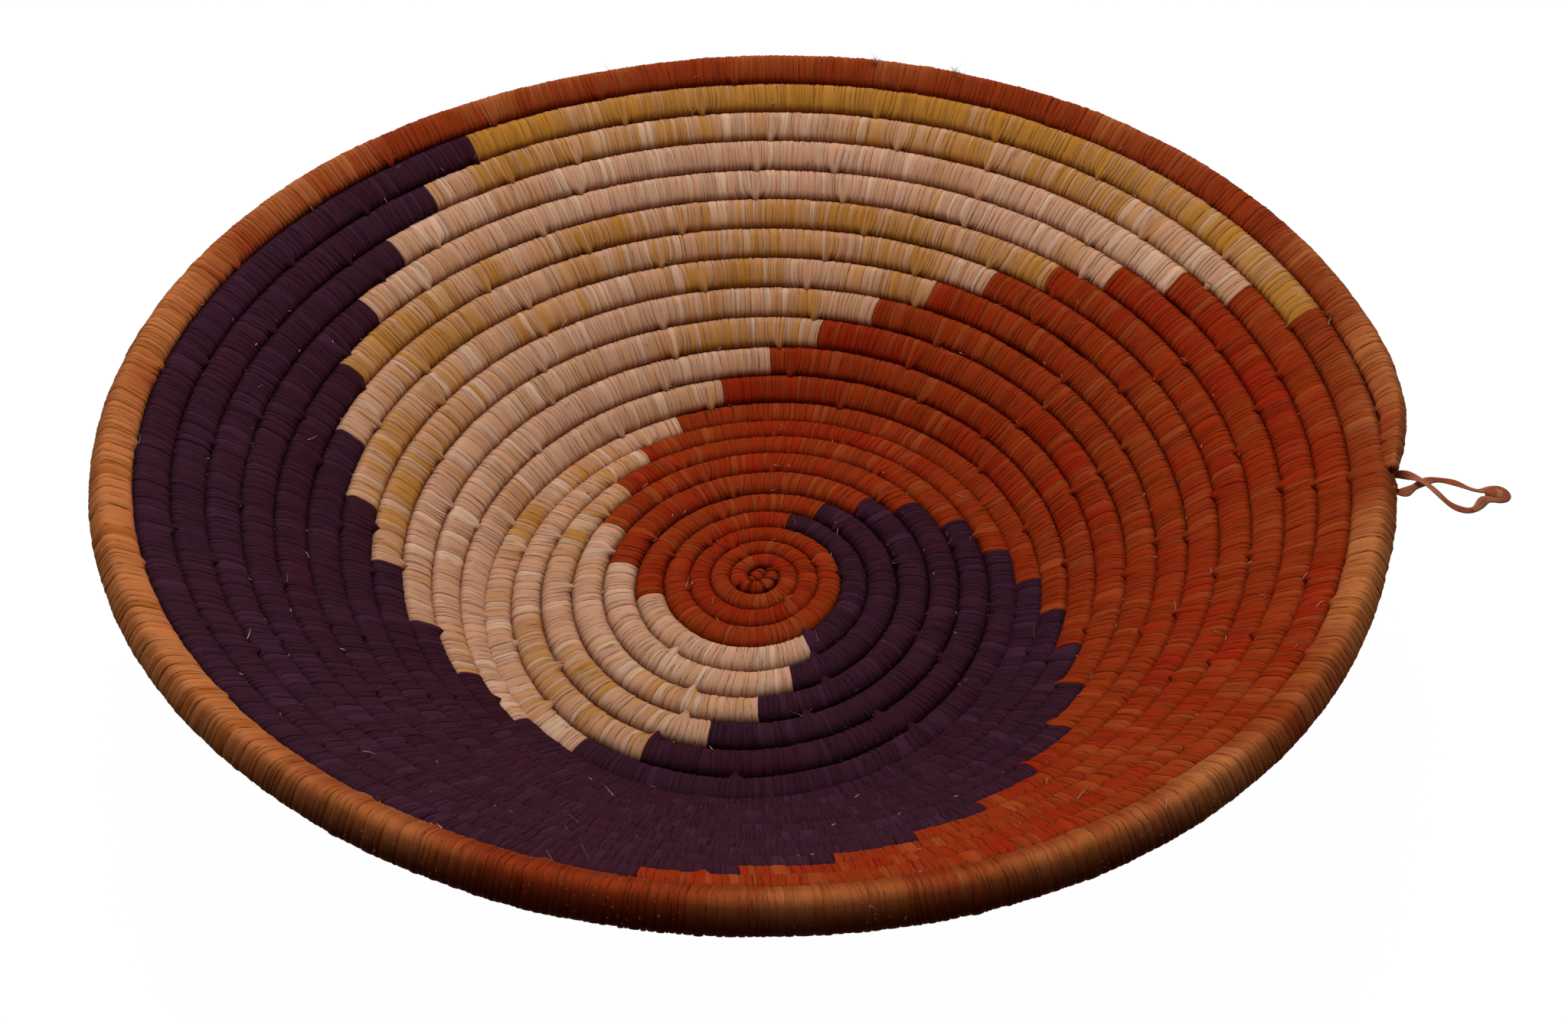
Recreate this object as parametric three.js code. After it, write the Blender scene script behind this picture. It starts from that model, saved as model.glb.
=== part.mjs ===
// Coiled basket bowl: one long bundle of grass, wound into a spiral and wrapped all along in
// dyed raffia, with a small raffia hanging loop at the end of its rim.
// Millimetres, +Z up. The bowl stands at z = 0, with the origin under the middle of its outline.
import * as THREE from 'three';

// Shape of the bowl, along the middle of the coil
const BASE_RADIUS = 69; // from the eye of the spiral to the bend at the foot of the wall
const WALL_SLOPE = 40.2; // degrees up from the table
const BEND_RADIUS = 12; // of the bend between the base and the wall

// The coil's thickness at the places where it changes
const RIM_COIL = 9.4;
const WALL_COIL = 8.6;
const BEND_COIL = 7.4;
const BASE_COIL = 8.1;
const INNER_COIL = 5.5;
const EYE_COIL = 4.2;
const RIM_TIP = 3.8; // the rim's coil thins to this at its outer end
const RIM_TAPER = 38; // length of coil over which it thins
// How much thicker the uneven rim is than that, at these turns: thin at the back, fat at the front
const RIM_SWELL = [
  [0, -2.1], [0.1, -1.6], [0.3, -1.5], [0.44, -0.5], [0.52, 0.9], [0.72, 1], [0.82, 3.4],
  [0.92, 3], [0.955, 0],
];

// Turns are counted inward from the ray at angle 0, which the rim's coil crosses first.
// The coil runs anticlockwise, seen from above.
const FIRST_TURN = -0.0325;
const WALL_TURN = 1;
const WALL_END_TURN = 9;
const BEND_TURN = 12.5;
const BASE_TURN = 16.5;
const INNER_TURN = 19.5;
const EYE_TURN = 22.66; // here the spiral would reach its own axis
const EYE_HOLE = 2; // the coil's inner end stays this far from that axis

// Fits between the pieces
const COURSE_GAP = 0.55; // between the wraps of neighbouring courses
const END_GAP = 0.3; // between one wrap and the next along the coil
const CORE_GAP = 0.3; // between the core and the wraps round it
const WRAP_THICKNESS = 1; // of raffia over the core
const THIN_WRAP_SHARE = 0.4; // of the coil's half thickness, where the coil is thin

// Where the raffia changes colour: degrees from angle 0 at course 0, and how that grows
const COLOURED_COURSES = 17;
const NATURAL_START = { angle: 3.8, stepAngle: 8.4, growthAngle: -0.23, lateGrowthAngle: 0.0234 };
const PURPLE_START = { angle: 119.9, stepAngle: 7.4, growthAngle: 0.1765, lateGrowthAngle: 0 };
const ORANGE_START = { angle: 254.2, stepAngle: 7.2, growthAngle: 0.182, lateGrowthAngle: 0 };

// The hanging loop
const LOOP_ANGLE = -13.9; // degrees round the bowl
const LOOP_STRAND = 1.7; // thickness of a strand
const LOOP_SEAT_GAP = 0.35; // between the strands' round ends and the rim
const STRAND_END_GAP = 0.3; // between the strands and the knot
const KNOT_LENGTH = 4.4;
const KNOT_WIDTH = 4.2;
const KNOT_NECK_WIDTH = 3.9;
// The strands' routes from the rim to the knot: out, sideways and up from the middle of the seat
const FAR_STRAND = [
  [0, 3.6, 0], [2.2, 2.5, 0.25], [4.6, 0.7, 1.1], [7.1, -1.7, 0.9], [9.8, -4.2, 0.3],
  [12.8, -5.3, 0], [15.6, -4.2, 0], [17.6, -1.9, 0], [19.2, -1.08, 0],
];
const NEAR_STRAND = [
  [0, -3.6, 0], [2.2, -2.5, -0.25], [4.6, -0.5, -1.1], [7.1, 1.5, -0.9], [10.2, 2.4, -0.2],
  [13.4, 2, 0], [16.4, 1.3, 0], [19.2, 1.08, 0],
];

// Colours
const ORANGE = { color: 0x8c3a1c, roughness: 0.62 };
const NATURAL = { color: 0xb78c72, roughness: 0.66 };
const PURPLE = { color: 0x3c1f2c, roughness: 0.6 };
const RIM_ORANGE = { color: 0xa0602f, roughness: 0.62 };
const GRASS = { color: 0xb59a5c, roughness: 0.85 };

// Faceting
const STEPS_PER_TURN = 24;
const INNER_STEPS_PER_TURN = 12; // on the small turns past BASE_TURN
const WRAP_SIDES = 6; // corners towards the neighbouring courses, flats above and below
const CORE_SIDES = 4;
const STRAND_SIDES = 8;
const STRAND_STEPS = 14;
const KNOT_SIDES = 12;
const KNOT_ROUND_STEPS = 6; // from its widest place to its tip
const SHORTEST_STEP = 0.001; // of a turn

const { cos, sin, PI, min, max, floor } = Math;
const FULL = 2 * PI;
const SLOPE = THREE.MathUtils.degToRad(WALL_SLOPE);
const FLAT = cos(PI / WRAP_SIDES); // a flat's share of the distance from the middle to a corner
// How far a section that is turned by the wall's slope reaches under its middle, as such a share
const underside = (slope) =>
  max(...Array.from({ length: WRAP_SIDES }, (_, i) => -sin(slope + (FULL * i) / WRAP_SIDES)));

// The coil's thickness where it isn't tapered, by straight lines between the named turns
const THICKNESS = [
  [0, RIM_COIL], [WALL_TURN, WALL_COIL], [WALL_END_TURN, WALL_COIL], [BEND_TURN, BEND_COIL],
  [BASE_TURN, BASE_COIL], [INNER_TURN, INNER_COIL], [EYE_TURN, EYE_COIL],
];

function between(table, at) {
  const last = table.findIndex(([turn]) => turn >= at);
  if (last === 0) return table[0][1];
  if (last < 0) return table[table.length - 1][1];
  const [[a, low], [b, high]] = [table[last - 1], table[last]];
  return THREE.MathUtils.lerp(low, high, (at - a) / (b - a));
}

// Distance along the bowl's profile from the eye: the sum of the thicknesses of the turns inside
function alongProfile(turn) {
  const stops = [turn, ...THICKNESS.map(([t]) => t).filter((t) => t > turn)];
  let sum = 0;
  for (let i = 1; i < stops.length; i++) {
    const mean = (between(THICKNESS, stops[i - 1]) + between(THICKNESS, stops[i])) / 2;
    sum += mean * (stops[i] - stops[i - 1]);
  }
  return sum;
}

// The bowl's profile: a flat base, a round bend and a straight sloping wall
const BEND_START = BASE_RADIUS - BEND_RADIUS * Math.tan(SLOPE / 2);
function profile(distance) {
  const slope = THREE.MathUtils.clamp((distance - BEND_START) / BEND_RADIUS, 0, SLOPE);
  const past = max(0, distance - BEND_START - BEND_RADIUS * SLOPE);
  return {
    slope,
    radius: min(distance, BEND_START) + BEND_RADIUS * sin(slope) + past * cos(SLOPE),
    height: BEND_RADIUS * (1 - cos(slope)) + past * sin(SLOPE),
  };
}

// The turn at which the coil is a given distance along the profile
function turnAt(distance) {
  let [low, high] = [FIRST_TURN, EYE_TURN];
  for (let i = 0; i < 50; i++) {
    const middle = (low + high) / 2;
    if (alongProfile(middle) > distance) low = middle;
    else high = middle;
  }
  return low;
}
const FLAT_BASE_TURN = turnAt(BEND_START);
const LAST_TURN = turnAt(EYE_HOLE);
const RIM_RADIUS = profile(alongProfile(0)).radius;
const TAPER_TURNS = RIM_TAPER / (FULL * RIM_RADIUS);

// Half the thickness of the wrapped coil, before and after the rim's swell and taper
const fullHalf = (turn) => (between(THICKNESS, turn) - COURSE_GAP) / 2;
function coilHalf(turn) {
  const grown = THREE.MathUtils.clamp((turn - FIRST_TURN) / TAPER_TURNS, 0, 1);
  return THREE.MathUtils.lerp(RIM_TIP / 2, fullHalf(turn) + between(RIM_SWELL, turn) / 2, grown);
}
function boreHalf(turn) {
  const flat = coilHalf(turn) * FLAT;
  return flat - min(WRAP_THICKNESS, THIN_WRAP_SHARE * flat);
}
const coreHalf = (turn) => boreHalf(turn) - CORE_GAP / cos(PI / CORE_SIDES);

// The middle of the coil at a turn. The uneven rim keeps its seat on the course inside it, and
// every course of the base lies on the table, on one of its flats.
function coilMiddle(turn) {
  const distance = alongProfile(turn) - (fullHalf(turn) - coilHalf(turn));
  const { radius, height, slope } = profile(distance);
  const lift = underside(slope) * coilHalf(max(turn, FLAT_BASE_TURN));
  return { radius, height: height + lift, slope, angle: FULL * turn };
}

// One corner of the coil's section, counted round from the corner that faces outward
function corner(turn, half, sides, index) {
  const { radius, height, slope, angle } = coilMiddle(turn);
  const round = slope + (FULL * index) / sides;
  const out = radius + half(turn) * cos(round);
  return new THREE.Vector3(out * cos(angle), out * sin(angle), height + half(turn) * sin(round));
}

const stepAt = (turn) => 1 / (turn < BASE_TURN ? STEPS_PER_TURN : INNER_STEPS_PER_TURN);

// A section anywhere on the coil, on the straight lines between the two steps beside it
function section(turn, half, sides) {
  const step = stepAt(turn);
  const before = floor(turn / step + 1e-9) * step;
  const part = (turn - before) / step;
  return Array.from({ length: sides }, (_, i) =>
    corner(before, half, sides, i).lerp(corner(before + step, half, sides, i), part));
}

function stopsBetween(start, end) {
  const stops = [start];
  let turn = start;
  while (turn < end) {
    const step = stepAt(turn + SHORTEST_STEP);
    turn = (floor((turn + SHORTEST_STEP) / step) + 1) * step;
    if (turn < end - SHORTEST_STEP) stops.push(turn);
  }
  return [...stops, end];
}

// Faces between two rings of points, where both rings start at the same place round the coil
function joinRings(faces, a, b) {
  let [i, j] = [0, 0];
  while (i < a.length || j < b.length) {
    const [p, q] = [a[i % a.length], b[j % b.length]];
    if (j === b.length || (i < a.length && (i + 0.5) / a.length < (j + 0.5) / b.length)) {
      faces.push(p, a[(i + 1) % a.length], q);
      i++;
    } else {
      faces.push(p, b[(j + 1) % b.length], q);
      j++;
    }
  }
}

const closeEnd = (faces, ring) => {
  for (let i = 1; i < ring.length - 1; i++) faces.push(ring[0], ring[i], ring[i + 1]);
};

function solidFrom(points, faces) {
  const geometry = new THREE.BufferGeometry().setFromPoints(points);
  geometry.setIndex(faces);
  return geometry;
}

// A length of coil: a tube with the given outside and, where there is one, a bore through it
function coilLength(start, end, outer, sides, bore) {
  const [points, faces, outerRings, boreRings] = [[], [], [], []];
  const addRing = (rings, corners) => {
    rings.push(corners.map((_, i) => points.length + i));
    points.push(...corners);
  };
  for (const turn of stopsBetween(start, end)) {
    addRing(outerRings, section(turn, outer, sides));
    if (bore) addRing(boreRings, section(turn, bore, CORE_SIDES));
  }
  const last = outerRings.length - 1;
  for (let i = 0; i < last; i++) {
    joinRings(faces, outerRings[i + 1], outerRings[i]);
    if (bore) joinRings(faces, boreRings[i], boreRings[i + 1]);
  }
  if (bore) {
    joinRings(faces, outerRings[0], boreRings[0]);
    joinRings(faces, boreRings[last], outerRings[last]);
  } else {
    closeEnd(faces, [...outerRings[0]]);
    closeEnd(faces, [...outerRings[last]].reverse());
  }
  return solidFrom(points, faces);
}

// A strand of the hanging loop: a round start at the rim and a flat end at the knot
function strand(route) {
  const curve = new THREE.CatmullRomCurve3(route.map((p) => new THREE.Vector3(...p)), false, 'centripetal');
  const frames = curve.computeFrenetFrames(STRAND_STEPS, false);
  const half = LOOP_STRAND / 2;
  const [points, faces] = [[], []];
  const rings = [];
  const addRing = (middle, i, radius) => {
    rings.push(Array.from({ length: STRAND_SIDES }, (_, k) => points.length + k));
    for (let k = 0; k < STRAND_SIDES; k++) {
      const round = (FULL * k) / STRAND_SIDES;
      points.push(middle.clone()
        .addScaledVector(frames.normals[i], radius * cos(round))
        .addScaledVector(frames.binormals[i], radius * sin(round)));
    }
  };
  for (const back of [1, 0.5].map((share) => share * PI * 0.375)) {
    addRing(curve.getPointAt(0).addScaledVector(frames.tangents[0], -half * sin(back)), 0, half * cos(back));
  }
  for (let i = 0; i <= STRAND_STEPS; i++) addRing(curve.getPointAt(i / STRAND_STEPS), i, half);
  for (let i = 1; i < rings.length; i++) joinRings(faces, rings[i - 1], rings[i]);
  closeEnd(faces, [...rings[0]].reverse());
  closeEnd(faces, rings[rings.length - 1]);
  return solidFrom(points, faces);
}

// The knot at the loop's tip: a rounded tuft of raffia, turned about the loop's own line
function knot(start) {
  const half = KNOT_WIDTH / 2;
  const round = Array.from({ length: KNOT_ROUND_STEPS }, (_, i) => (i * PI) / (2 * KNOT_ROUND_STEPS));
  const outline = [
    new THREE.Vector2(0, 0),
    new THREE.Vector2(KNOT_NECK_WIDTH / 2, 0),
    ...round.map((a) => new THREE.Vector2(half * cos(a), KNOT_LENGTH - half + half * sin(a))),
    new THREE.Vector2(0, KNOT_LENGTH),
  ];
  return new THREE.LatheGeometry(outline, KNOT_SIDES).rotateZ(-PI / 2).translate(start, 0, 0);
}

// Pieces
const bowl = new THREE.Group();

function addPiece(parent, name, geometry, finish) {
  const piece = new THREE.Mesh(geometry, new THREE.MeshStandardMaterial({ ...finish, metalness: 0 }));
  piece.name = name;
  parent.add(piece);
}

const turnsPerMillimetre = (turn) => 1 / (FULL * coilMiddle(turn).radius);
const colourTurn = (course, { angle, stepAngle, growthAngle, lateGrowthAngle }) =>
  course + (angle + stepAngle * course + growthAngle * course ** 2 + lateGrowthAngle * course ** 3) / 360;

// One wrap of raffia, between two places where the colour changes
function addWrap(name, start, end, finish) {
  const from = start + (start > FIRST_TURN ? (END_GAP / 2) * turnsPerMillimetre(start) : 0);
  const to = end - (end < LAST_TURN ? (END_GAP / 2) * turnsPerMillimetre(end) : 0);
  addPiece(bowl, name, coilLength(from, to, coilHalf, WRAP_SIDES, boreHalf), finish);
}

function addCoil() {
  addPiece(bowl, 'grass_core', coilLength(FIRST_TURN, LAST_TURN, coreHalf, CORE_SIDES), GRASS);
  addWrap('orange_rim_wrap', FIRST_TURN, colourTurn(1, NATURAL_START), RIM_ORANGE);
  for (let course = 1; course <= COLOURED_COURSES; course++) {
    const number = String(course).padStart(2, '0');
    const [natural, purple, orange] = [NATURAL_START, PURPLE_START, ORANGE_START]
      .map((colour) => colourTurn(course, colour));
    const isLast = course === COLOURED_COURSES;
    addWrap(`natural_wrap_${number}`, natural, purple, NATURAL);
    addWrap(`purple_wrap_${number}`, purple, orange, PURPLE);
    if (isLast) addWrap('orange_centre_wrap', orange, LAST_TURN, ORANGE);
    else addWrap(`orange_wrap_${number}`, orange, colourTurn(course + 1, NATURAL_START), ORANGE);
  }
}

// The loop is seated against the middle of the rim's outer flat
function makeLoop() {
  const turn = 1 + LOOP_ANGLE / 360;
  const { radius, height, slope } = coilMiddle(turn);
  const lean = slope - PI / WRAP_SIDES;
  const reach = coilHalf(turn) * FLAT + LOOP_SEAT_GAP + LOOP_STRAND / 2;
  const seat = new THREE.Vector2(radius + reach * cos(lean), height + reach * sin(lean));
  const loop = new THREE.Group();
  addPiece(loop, 'loop_far_strand', strand(FAR_STRAND), RIM_ORANGE);
  addPiece(loop, 'loop_near_strand', strand(NEAR_STRAND), RIM_ORANGE);
  addPiece(loop, 'loop_knot', knot(FAR_STRAND[FAR_STRAND.length - 1][0] + STRAND_END_GAP), RIM_ORANGE);
  const angle = THREE.MathUtils.degToRad(LOOP_ANGLE);
  loop.rotation.z = angle;
  loop.position.set(seat.x * cos(angle), seat.x * sin(angle), seat.y);
  return loop;
}

// The least gap that a tube along the coil leaves to its own next course, measured on its corners
function leastGap(half, sides) {
  let least = Infinity;
  for (let turn = FIRST_TURN; turn < LAST_TURN - 1; turn += 1 / STEPS_PER_TURN) {
    for (let i = 0; i < sides; i++) {
      const here = corner(turn, half, sides, i);
      for (let j = 0; j < sides; j++) {
        least = min(least, here.distanceTo(corner(turn + 1, half, sides, j)));
      }
    }
  }
  return least;
}

addCoil();
// The spiral grows to one side, so the middle of its outline isn't its axis
const middle = new THREE.Box3().setFromObject(bowl).getCenter(new THREE.Vector3());
const loop = makeLoop();
bowl.add(loop);
for (const piece of bowl.children) piece.position.sub(new THREE.Vector3(middle.x, middle.y, 0));

const place = (...values) => values.map((value) => value.toFixed(2)).join(', ');
console.log(`Rim radius along the coil ${place(RIM_RADIUS)} mm, turns ${place(LAST_TURN - FIRST_TURN)}`);
console.log(`Least gap between courses ${place(leastGap(coilHalf, WRAP_SIDES))} mm,`
  + ` of the core to itself ${place(leastGap(coreHalf, CORE_SIDES))} mm`);
console.log(`The spiral's axis is at ${place(-middle.x, -middle.y)};`
  + ` the loop's seat at ${place(...loop.position.toArray())}`);

export default bowl;
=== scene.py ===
"""Coiled basket bowl of dyed raffia, with a small raffia hanging loop at the end of its rim.

Sizes are in millimetres in the row's frame and become metres in the meshes.
"""

import logging
import math
from dataclasses import dataclass, field
from enum import Enum
from typing import Any, Sequence

import bpy
import numpy as np
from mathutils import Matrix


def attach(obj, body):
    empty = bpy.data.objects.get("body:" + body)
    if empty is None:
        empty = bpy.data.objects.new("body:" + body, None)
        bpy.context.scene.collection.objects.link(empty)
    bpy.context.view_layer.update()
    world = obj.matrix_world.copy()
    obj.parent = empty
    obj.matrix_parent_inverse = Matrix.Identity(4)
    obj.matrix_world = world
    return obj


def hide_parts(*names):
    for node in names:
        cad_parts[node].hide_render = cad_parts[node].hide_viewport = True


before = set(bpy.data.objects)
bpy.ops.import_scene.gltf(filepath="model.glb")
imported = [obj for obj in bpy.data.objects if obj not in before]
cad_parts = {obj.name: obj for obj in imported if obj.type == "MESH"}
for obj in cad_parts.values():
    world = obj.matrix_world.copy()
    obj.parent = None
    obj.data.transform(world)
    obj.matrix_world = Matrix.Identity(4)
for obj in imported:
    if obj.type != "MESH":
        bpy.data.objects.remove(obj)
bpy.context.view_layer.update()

Array = np.ndarray
Socket = bpy.types.NodeSocket
Colour = tuple[float, float, float]

log = logging.getLogger("basket_bowl")

MM = 0.001
FULL = 2 * math.pi
BOWL_BODY = "bowl"
LOOP_BODY = "hanging_loop"
LOOP_ANGLE = math.radians(-13.9)


def linear(red: int, green: int, blue: int) -> Colour:
    """A colour given as screen values from 0 to 255, as the linear values that a shader takes."""
    shares = [value / 255 for value in (red, green, blue)]
    return tuple(s / 12.92 if s <= 0.04045 else ((s + 0.055) / 1.055) ** 2.4 for s in shares)


def smooth_step(value: Array) -> Array:
    """0 below 0 and 1 above 1, with an S-shaped rise between: 3 v squared less 2 v cubed."""
    held = np.clip(value, 0, 1)
    return held * held * (3 - 2 * held)


@dataclass
class Wander:
    """Smooth seeded noise along the coil, between -1 and 1.

    Random values stand at even places along the coil and, where asked for, round it. Between
    them the value follows an S-shaped step from one to the next.
    """

    seed: int
    spacing: float
    around: int = 1
    reach: float = 14000.0
    values: Array = field(init=False)

    def __post_init__(self) -> None:
        """Draws the random values."""
        count = int(self.reach / self.spacing) + 4
        self.values = np.random.default_rng(self.seed).uniform(-1, 1, (count, self.around))

    def at(self, along: Array, angle: Array | float = 0.0) -> Array:
        """The noise at places along the coil and angles round it.

        Args:
            along: Lengths of coil from the rim's tip.
            angle: Angles round the coil's section, in radians.

        Returns:
            Values between -1 and 1, one for each place.
        """
        row = np.maximum(along, 0) / self.spacing + 1
        column = np.asarray(angle) / FULL * self.around % self.around
        row, column = np.broadcast_arrays(row, column)
        i, j = np.floor(row).astype(int), np.floor(column).astype(int)
        u, v = smooth_step(row - i), smooth_step(column - j)
        j, k = j % self.around, (j + 1) % self.around
        near = self.values[i, j] * (1 - v) + self.values[i, k] * v
        far = self.values[i + 1, j] * (1 - v) + self.values[i + 1, k] * v
        return near * (1 - u) + far * u


@dataclass
class CoilRoute:
    """The route and thickness of the one long coil that makes the bowl.

    Turns are counted inward from the ray at angle 0. The distance along the bowl's profile is the
    sum of the thicknesses of the turns inside, and the profile is a flat base, a round bend and a
    straight sloping wall.
    """

    base_radius: float = 69.0
    wall_slope: float = math.radians(40.2)
    bend_radius: float = 12.0
    rim_tip: float = 3.8
    rim_taper: float = 38.0
    first_turn: float = -0.0352
    eye_turn: float = 22.66
    course_gap: float = 0.55
    stops: tuple[tuple[float, float], ...] = (
        (0, 9.4),
        (1, 8.6),
        (9, 8.6),
        (12.5, 7.4),
        (16.5, 8.1),
        (19.5, 5.5),
        (22.66, 4.2),
    )
    rim_swell: tuple[tuple[float, float], ...] = (
        (0, -2.3),
        (0.05, -1.3),
        (0.2, -0.5),
        (0.3, -0.6),
        (0.4, 0.2),
        (0.5, -1.0),
        (0.57, -1.4),
        (0.63, -1.1),
        (0.7, -0.1),
        (0.8, 0.2),
        (0.9, -0.5),
        (0.93, -0.7),
        (0.955, 0.0),
    )
    axis: tuple[float, float] = (-0.47, -0.43)
    samples: int = 48000
    turns: Array = field(init=False)
    distances: Array = field(init=False)
    lengths: Array = field(init=False)
    bend_start: float = field(init=False)
    flat_turn: float = field(init=False)
    taper_turns: float = field(init=False)

    def __post_init__(self) -> None:
        """Tables the profile distance and the coil's length against the turn."""
        self.turns = np.linspace(-0.1, self.eye_turn, self.samples)
        steps = np.diff(self.turns)
        thick = self.thickness(self.turns)
        outward = np.concatenate([[0], np.cumsum((thick[1:] + thick[:-1]) / 2 * steps)])
        self.distances = outward[-1] - outward
        self.bend_start = self.base_radius - self.bend_radius * math.tan(self.wall_slope / 2)
        self.flat_turn = self.turn_at_distance(self.bend_start)
        rim_radius = self.profile(self.distance(np.array(0.0)))[0]
        self.taper_turns = self.rim_taper / (FULL * float(rim_radius))
        spots = self.middle(self.turns)
        travelled = np.linalg.norm(np.diff(spots, axis=0), axis=1)
        lengths = np.concatenate([[0], np.cumsum(travelled)])
        self.lengths = lengths - np.interp(self.first_turn, self.turns, lengths)

    def thickness(self, turn: Array) -> Array:
        """The untapered coil's thickness, on straight lines between the named turns."""
        return np.interp(turn, *zip(*self.stops))

    def distance(self, turn: Array) -> Array:
        """The distance along the profile from the spiral's axis."""
        return np.interp(turn, self.turns, self.distances)

    def turn_at_distance(self, distance: float) -> float:
        """The turn at which the coil is that far along the profile."""
        return float(np.interp(-distance, -self.distances, self.turns))

    def length_at(self, turn: Array | float) -> Array:
        """The length of coil from the rim's tip to a turn."""
        return np.interp(turn, self.turns, self.lengths)

    def turn_at(self, length: Array) -> Array:
        """The turn at a length of coil from the rim's tip."""
        return np.interp(length, self.lengths, self.turns)

    def profile(self, distance: Array) -> tuple[Array, Array, Array]:
        """Radius, height and slope of the bowl's profile.

        The slope is the distance past the start of the bend over the bend's radius, held between
        0 and the wall's slope. The base runs out flat, the bend adds its sine and one less its
        cosine, and the wall adds its straight length.

        Args:
            distance: Distances along the profile from the spiral's axis.

        Returns:
            The radius, the height and the slope at each distance.
        """
        slope = np.clip((distance - self.bend_start) / self.bend_radius, 0, self.wall_slope)
        past = np.maximum(distance - self.bend_start - self.bend_radius * self.wall_slope, 0)
        flat = np.minimum(distance, self.bend_start)
        radius = flat + self.bend_radius * np.sin(slope) + past * math.cos(self.wall_slope)
        height = self.bend_radius * (1 - np.cos(slope)) + past * math.sin(self.wall_slope)
        return radius, height, slope

    def full_half(self, turn: Array) -> Array:
        """Half the thickness of the wrapped coil, without the rim's taper."""
        return (self.thickness(turn) - self.course_gap) / 2

    def grown(self, turn: Array) -> Array:
        """How far the rim's taper has grown: 0 at its tip and 1 past its end."""
        return np.clip((turn - self.first_turn) / self.taper_turns, 0, 1)

    def half(self, turn: Array) -> Array:
        """Half the thickness of the wrapped coil: the full half with the rim's swell, held
        down to the tip's where the taper hasn't grown yet."""
        full = self.full_half(turn) + np.interp(turn, *zip(*self.rim_swell)) / 2
        return self.rim_tip / 2 + (full - self.rim_tip / 2) * self.grown(turn)

    def lift(self, turn: Array, slope: Array) -> Array:
        """How high the middle of the coil lies over the profile: the reach of a six-sided
        section under its middle, which is the largest of minus the sine of its corners' angles."""
        corners = np.asarray(slope)[..., None] + np.arange(6) * FULL / 6
        return np.max(-np.sin(corners), axis=-1) * self.half(np.maximum(turn, self.flat_turn))

    def section(self, turn: Array) -> tuple[Array, Array, Array]:
        """Radius, height and slope of the coil's middle.

        The tapered tip keeps its seat on the course inside it.

        Args:
            turn: Turns counted inward from the ray at angle 0.

        Returns:
            The radius, the height over the table and the profile's slope at each turn.
        """
        seat = self.distance(turn) - (self.full_half(turn) - self.half(turn))
        radius, height, slope = self.profile(seat)
        return radius, height + self.lift(turn, slope), slope

    def middle(self, turn: Array) -> Array:
        """Points on the coil's middle, round the spiral's axis.

        The radius is turned anticlockwise by a full circle for each turn.

        Args:
            turn: Turns counted inward from the ray at angle 0.

        Returns:
            The points, in millimetres.
        """
        radius, height, _ = self.section(turn)
        angle = FULL * turn
        return np.stack([radius * np.cos(angle), radius * np.sin(angle), height], axis=-1)


def build_mesh(name: str, points: Array, faces: list[Array], uvs: list[Array],
               floats: dict[str, Array]) -> bpy.types.Object:
    """A mesh object from arrays, with smooth faces.

    Args:
        name: The object's name.
        points: Vertices in millimetres, one row each.
        faces: Arrays of faces, each with its own number of corners a row.
        uvs: A coordinate pair for each corner of each face, array by array.
        floats: Values to store for each vertex, by attribute name.

    Returns:
        The linked object, at the origin.
    """
    mesh = bpy.data.meshes.new(name)
    mesh.vertices.add(len(points))
    mesh.vertices.foreach_set("co", (points * MM).astype(np.float32).ravel())
    corners = np.concatenate([part.ravel() for part in faces]).astype(np.int32)
    sizes = np.concatenate([np.full(len(part), part.shape[1]) for part in faces])
    starts = np.concatenate([[0], np.cumsum(sizes)[:-1]]).astype(np.int32)
    mesh.loops.add(len(corners))
    mesh.loops.foreach_set("vertex_index", corners)
    mesh.polygons.add(len(sizes))
    mesh.polygons.foreach_set("loop_start", starts)
    mesh.polygons.foreach_set("use_smooth", np.ones(len(sizes), bool))
    layer = mesh.uv_layers.new(name="strands")
    flat = np.concatenate([part.reshape(-1, 2) for part in uvs]).astype(np.float32)
    layer.data.foreach_set("uv", flat.ravel())
    for key, values in floats.items():
        attribute = mesh.attributes.new(key, "FLOAT", "POINT")
        attribute.data.foreach_set("value", values.astype(np.float32).ravel())
    mesh.update(calc_edges=True)
    mesh.validate()
    piece = bpy.data.objects.new(name, mesh)
    bpy.context.scene.collection.objects.link(piece)
    return piece


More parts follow.
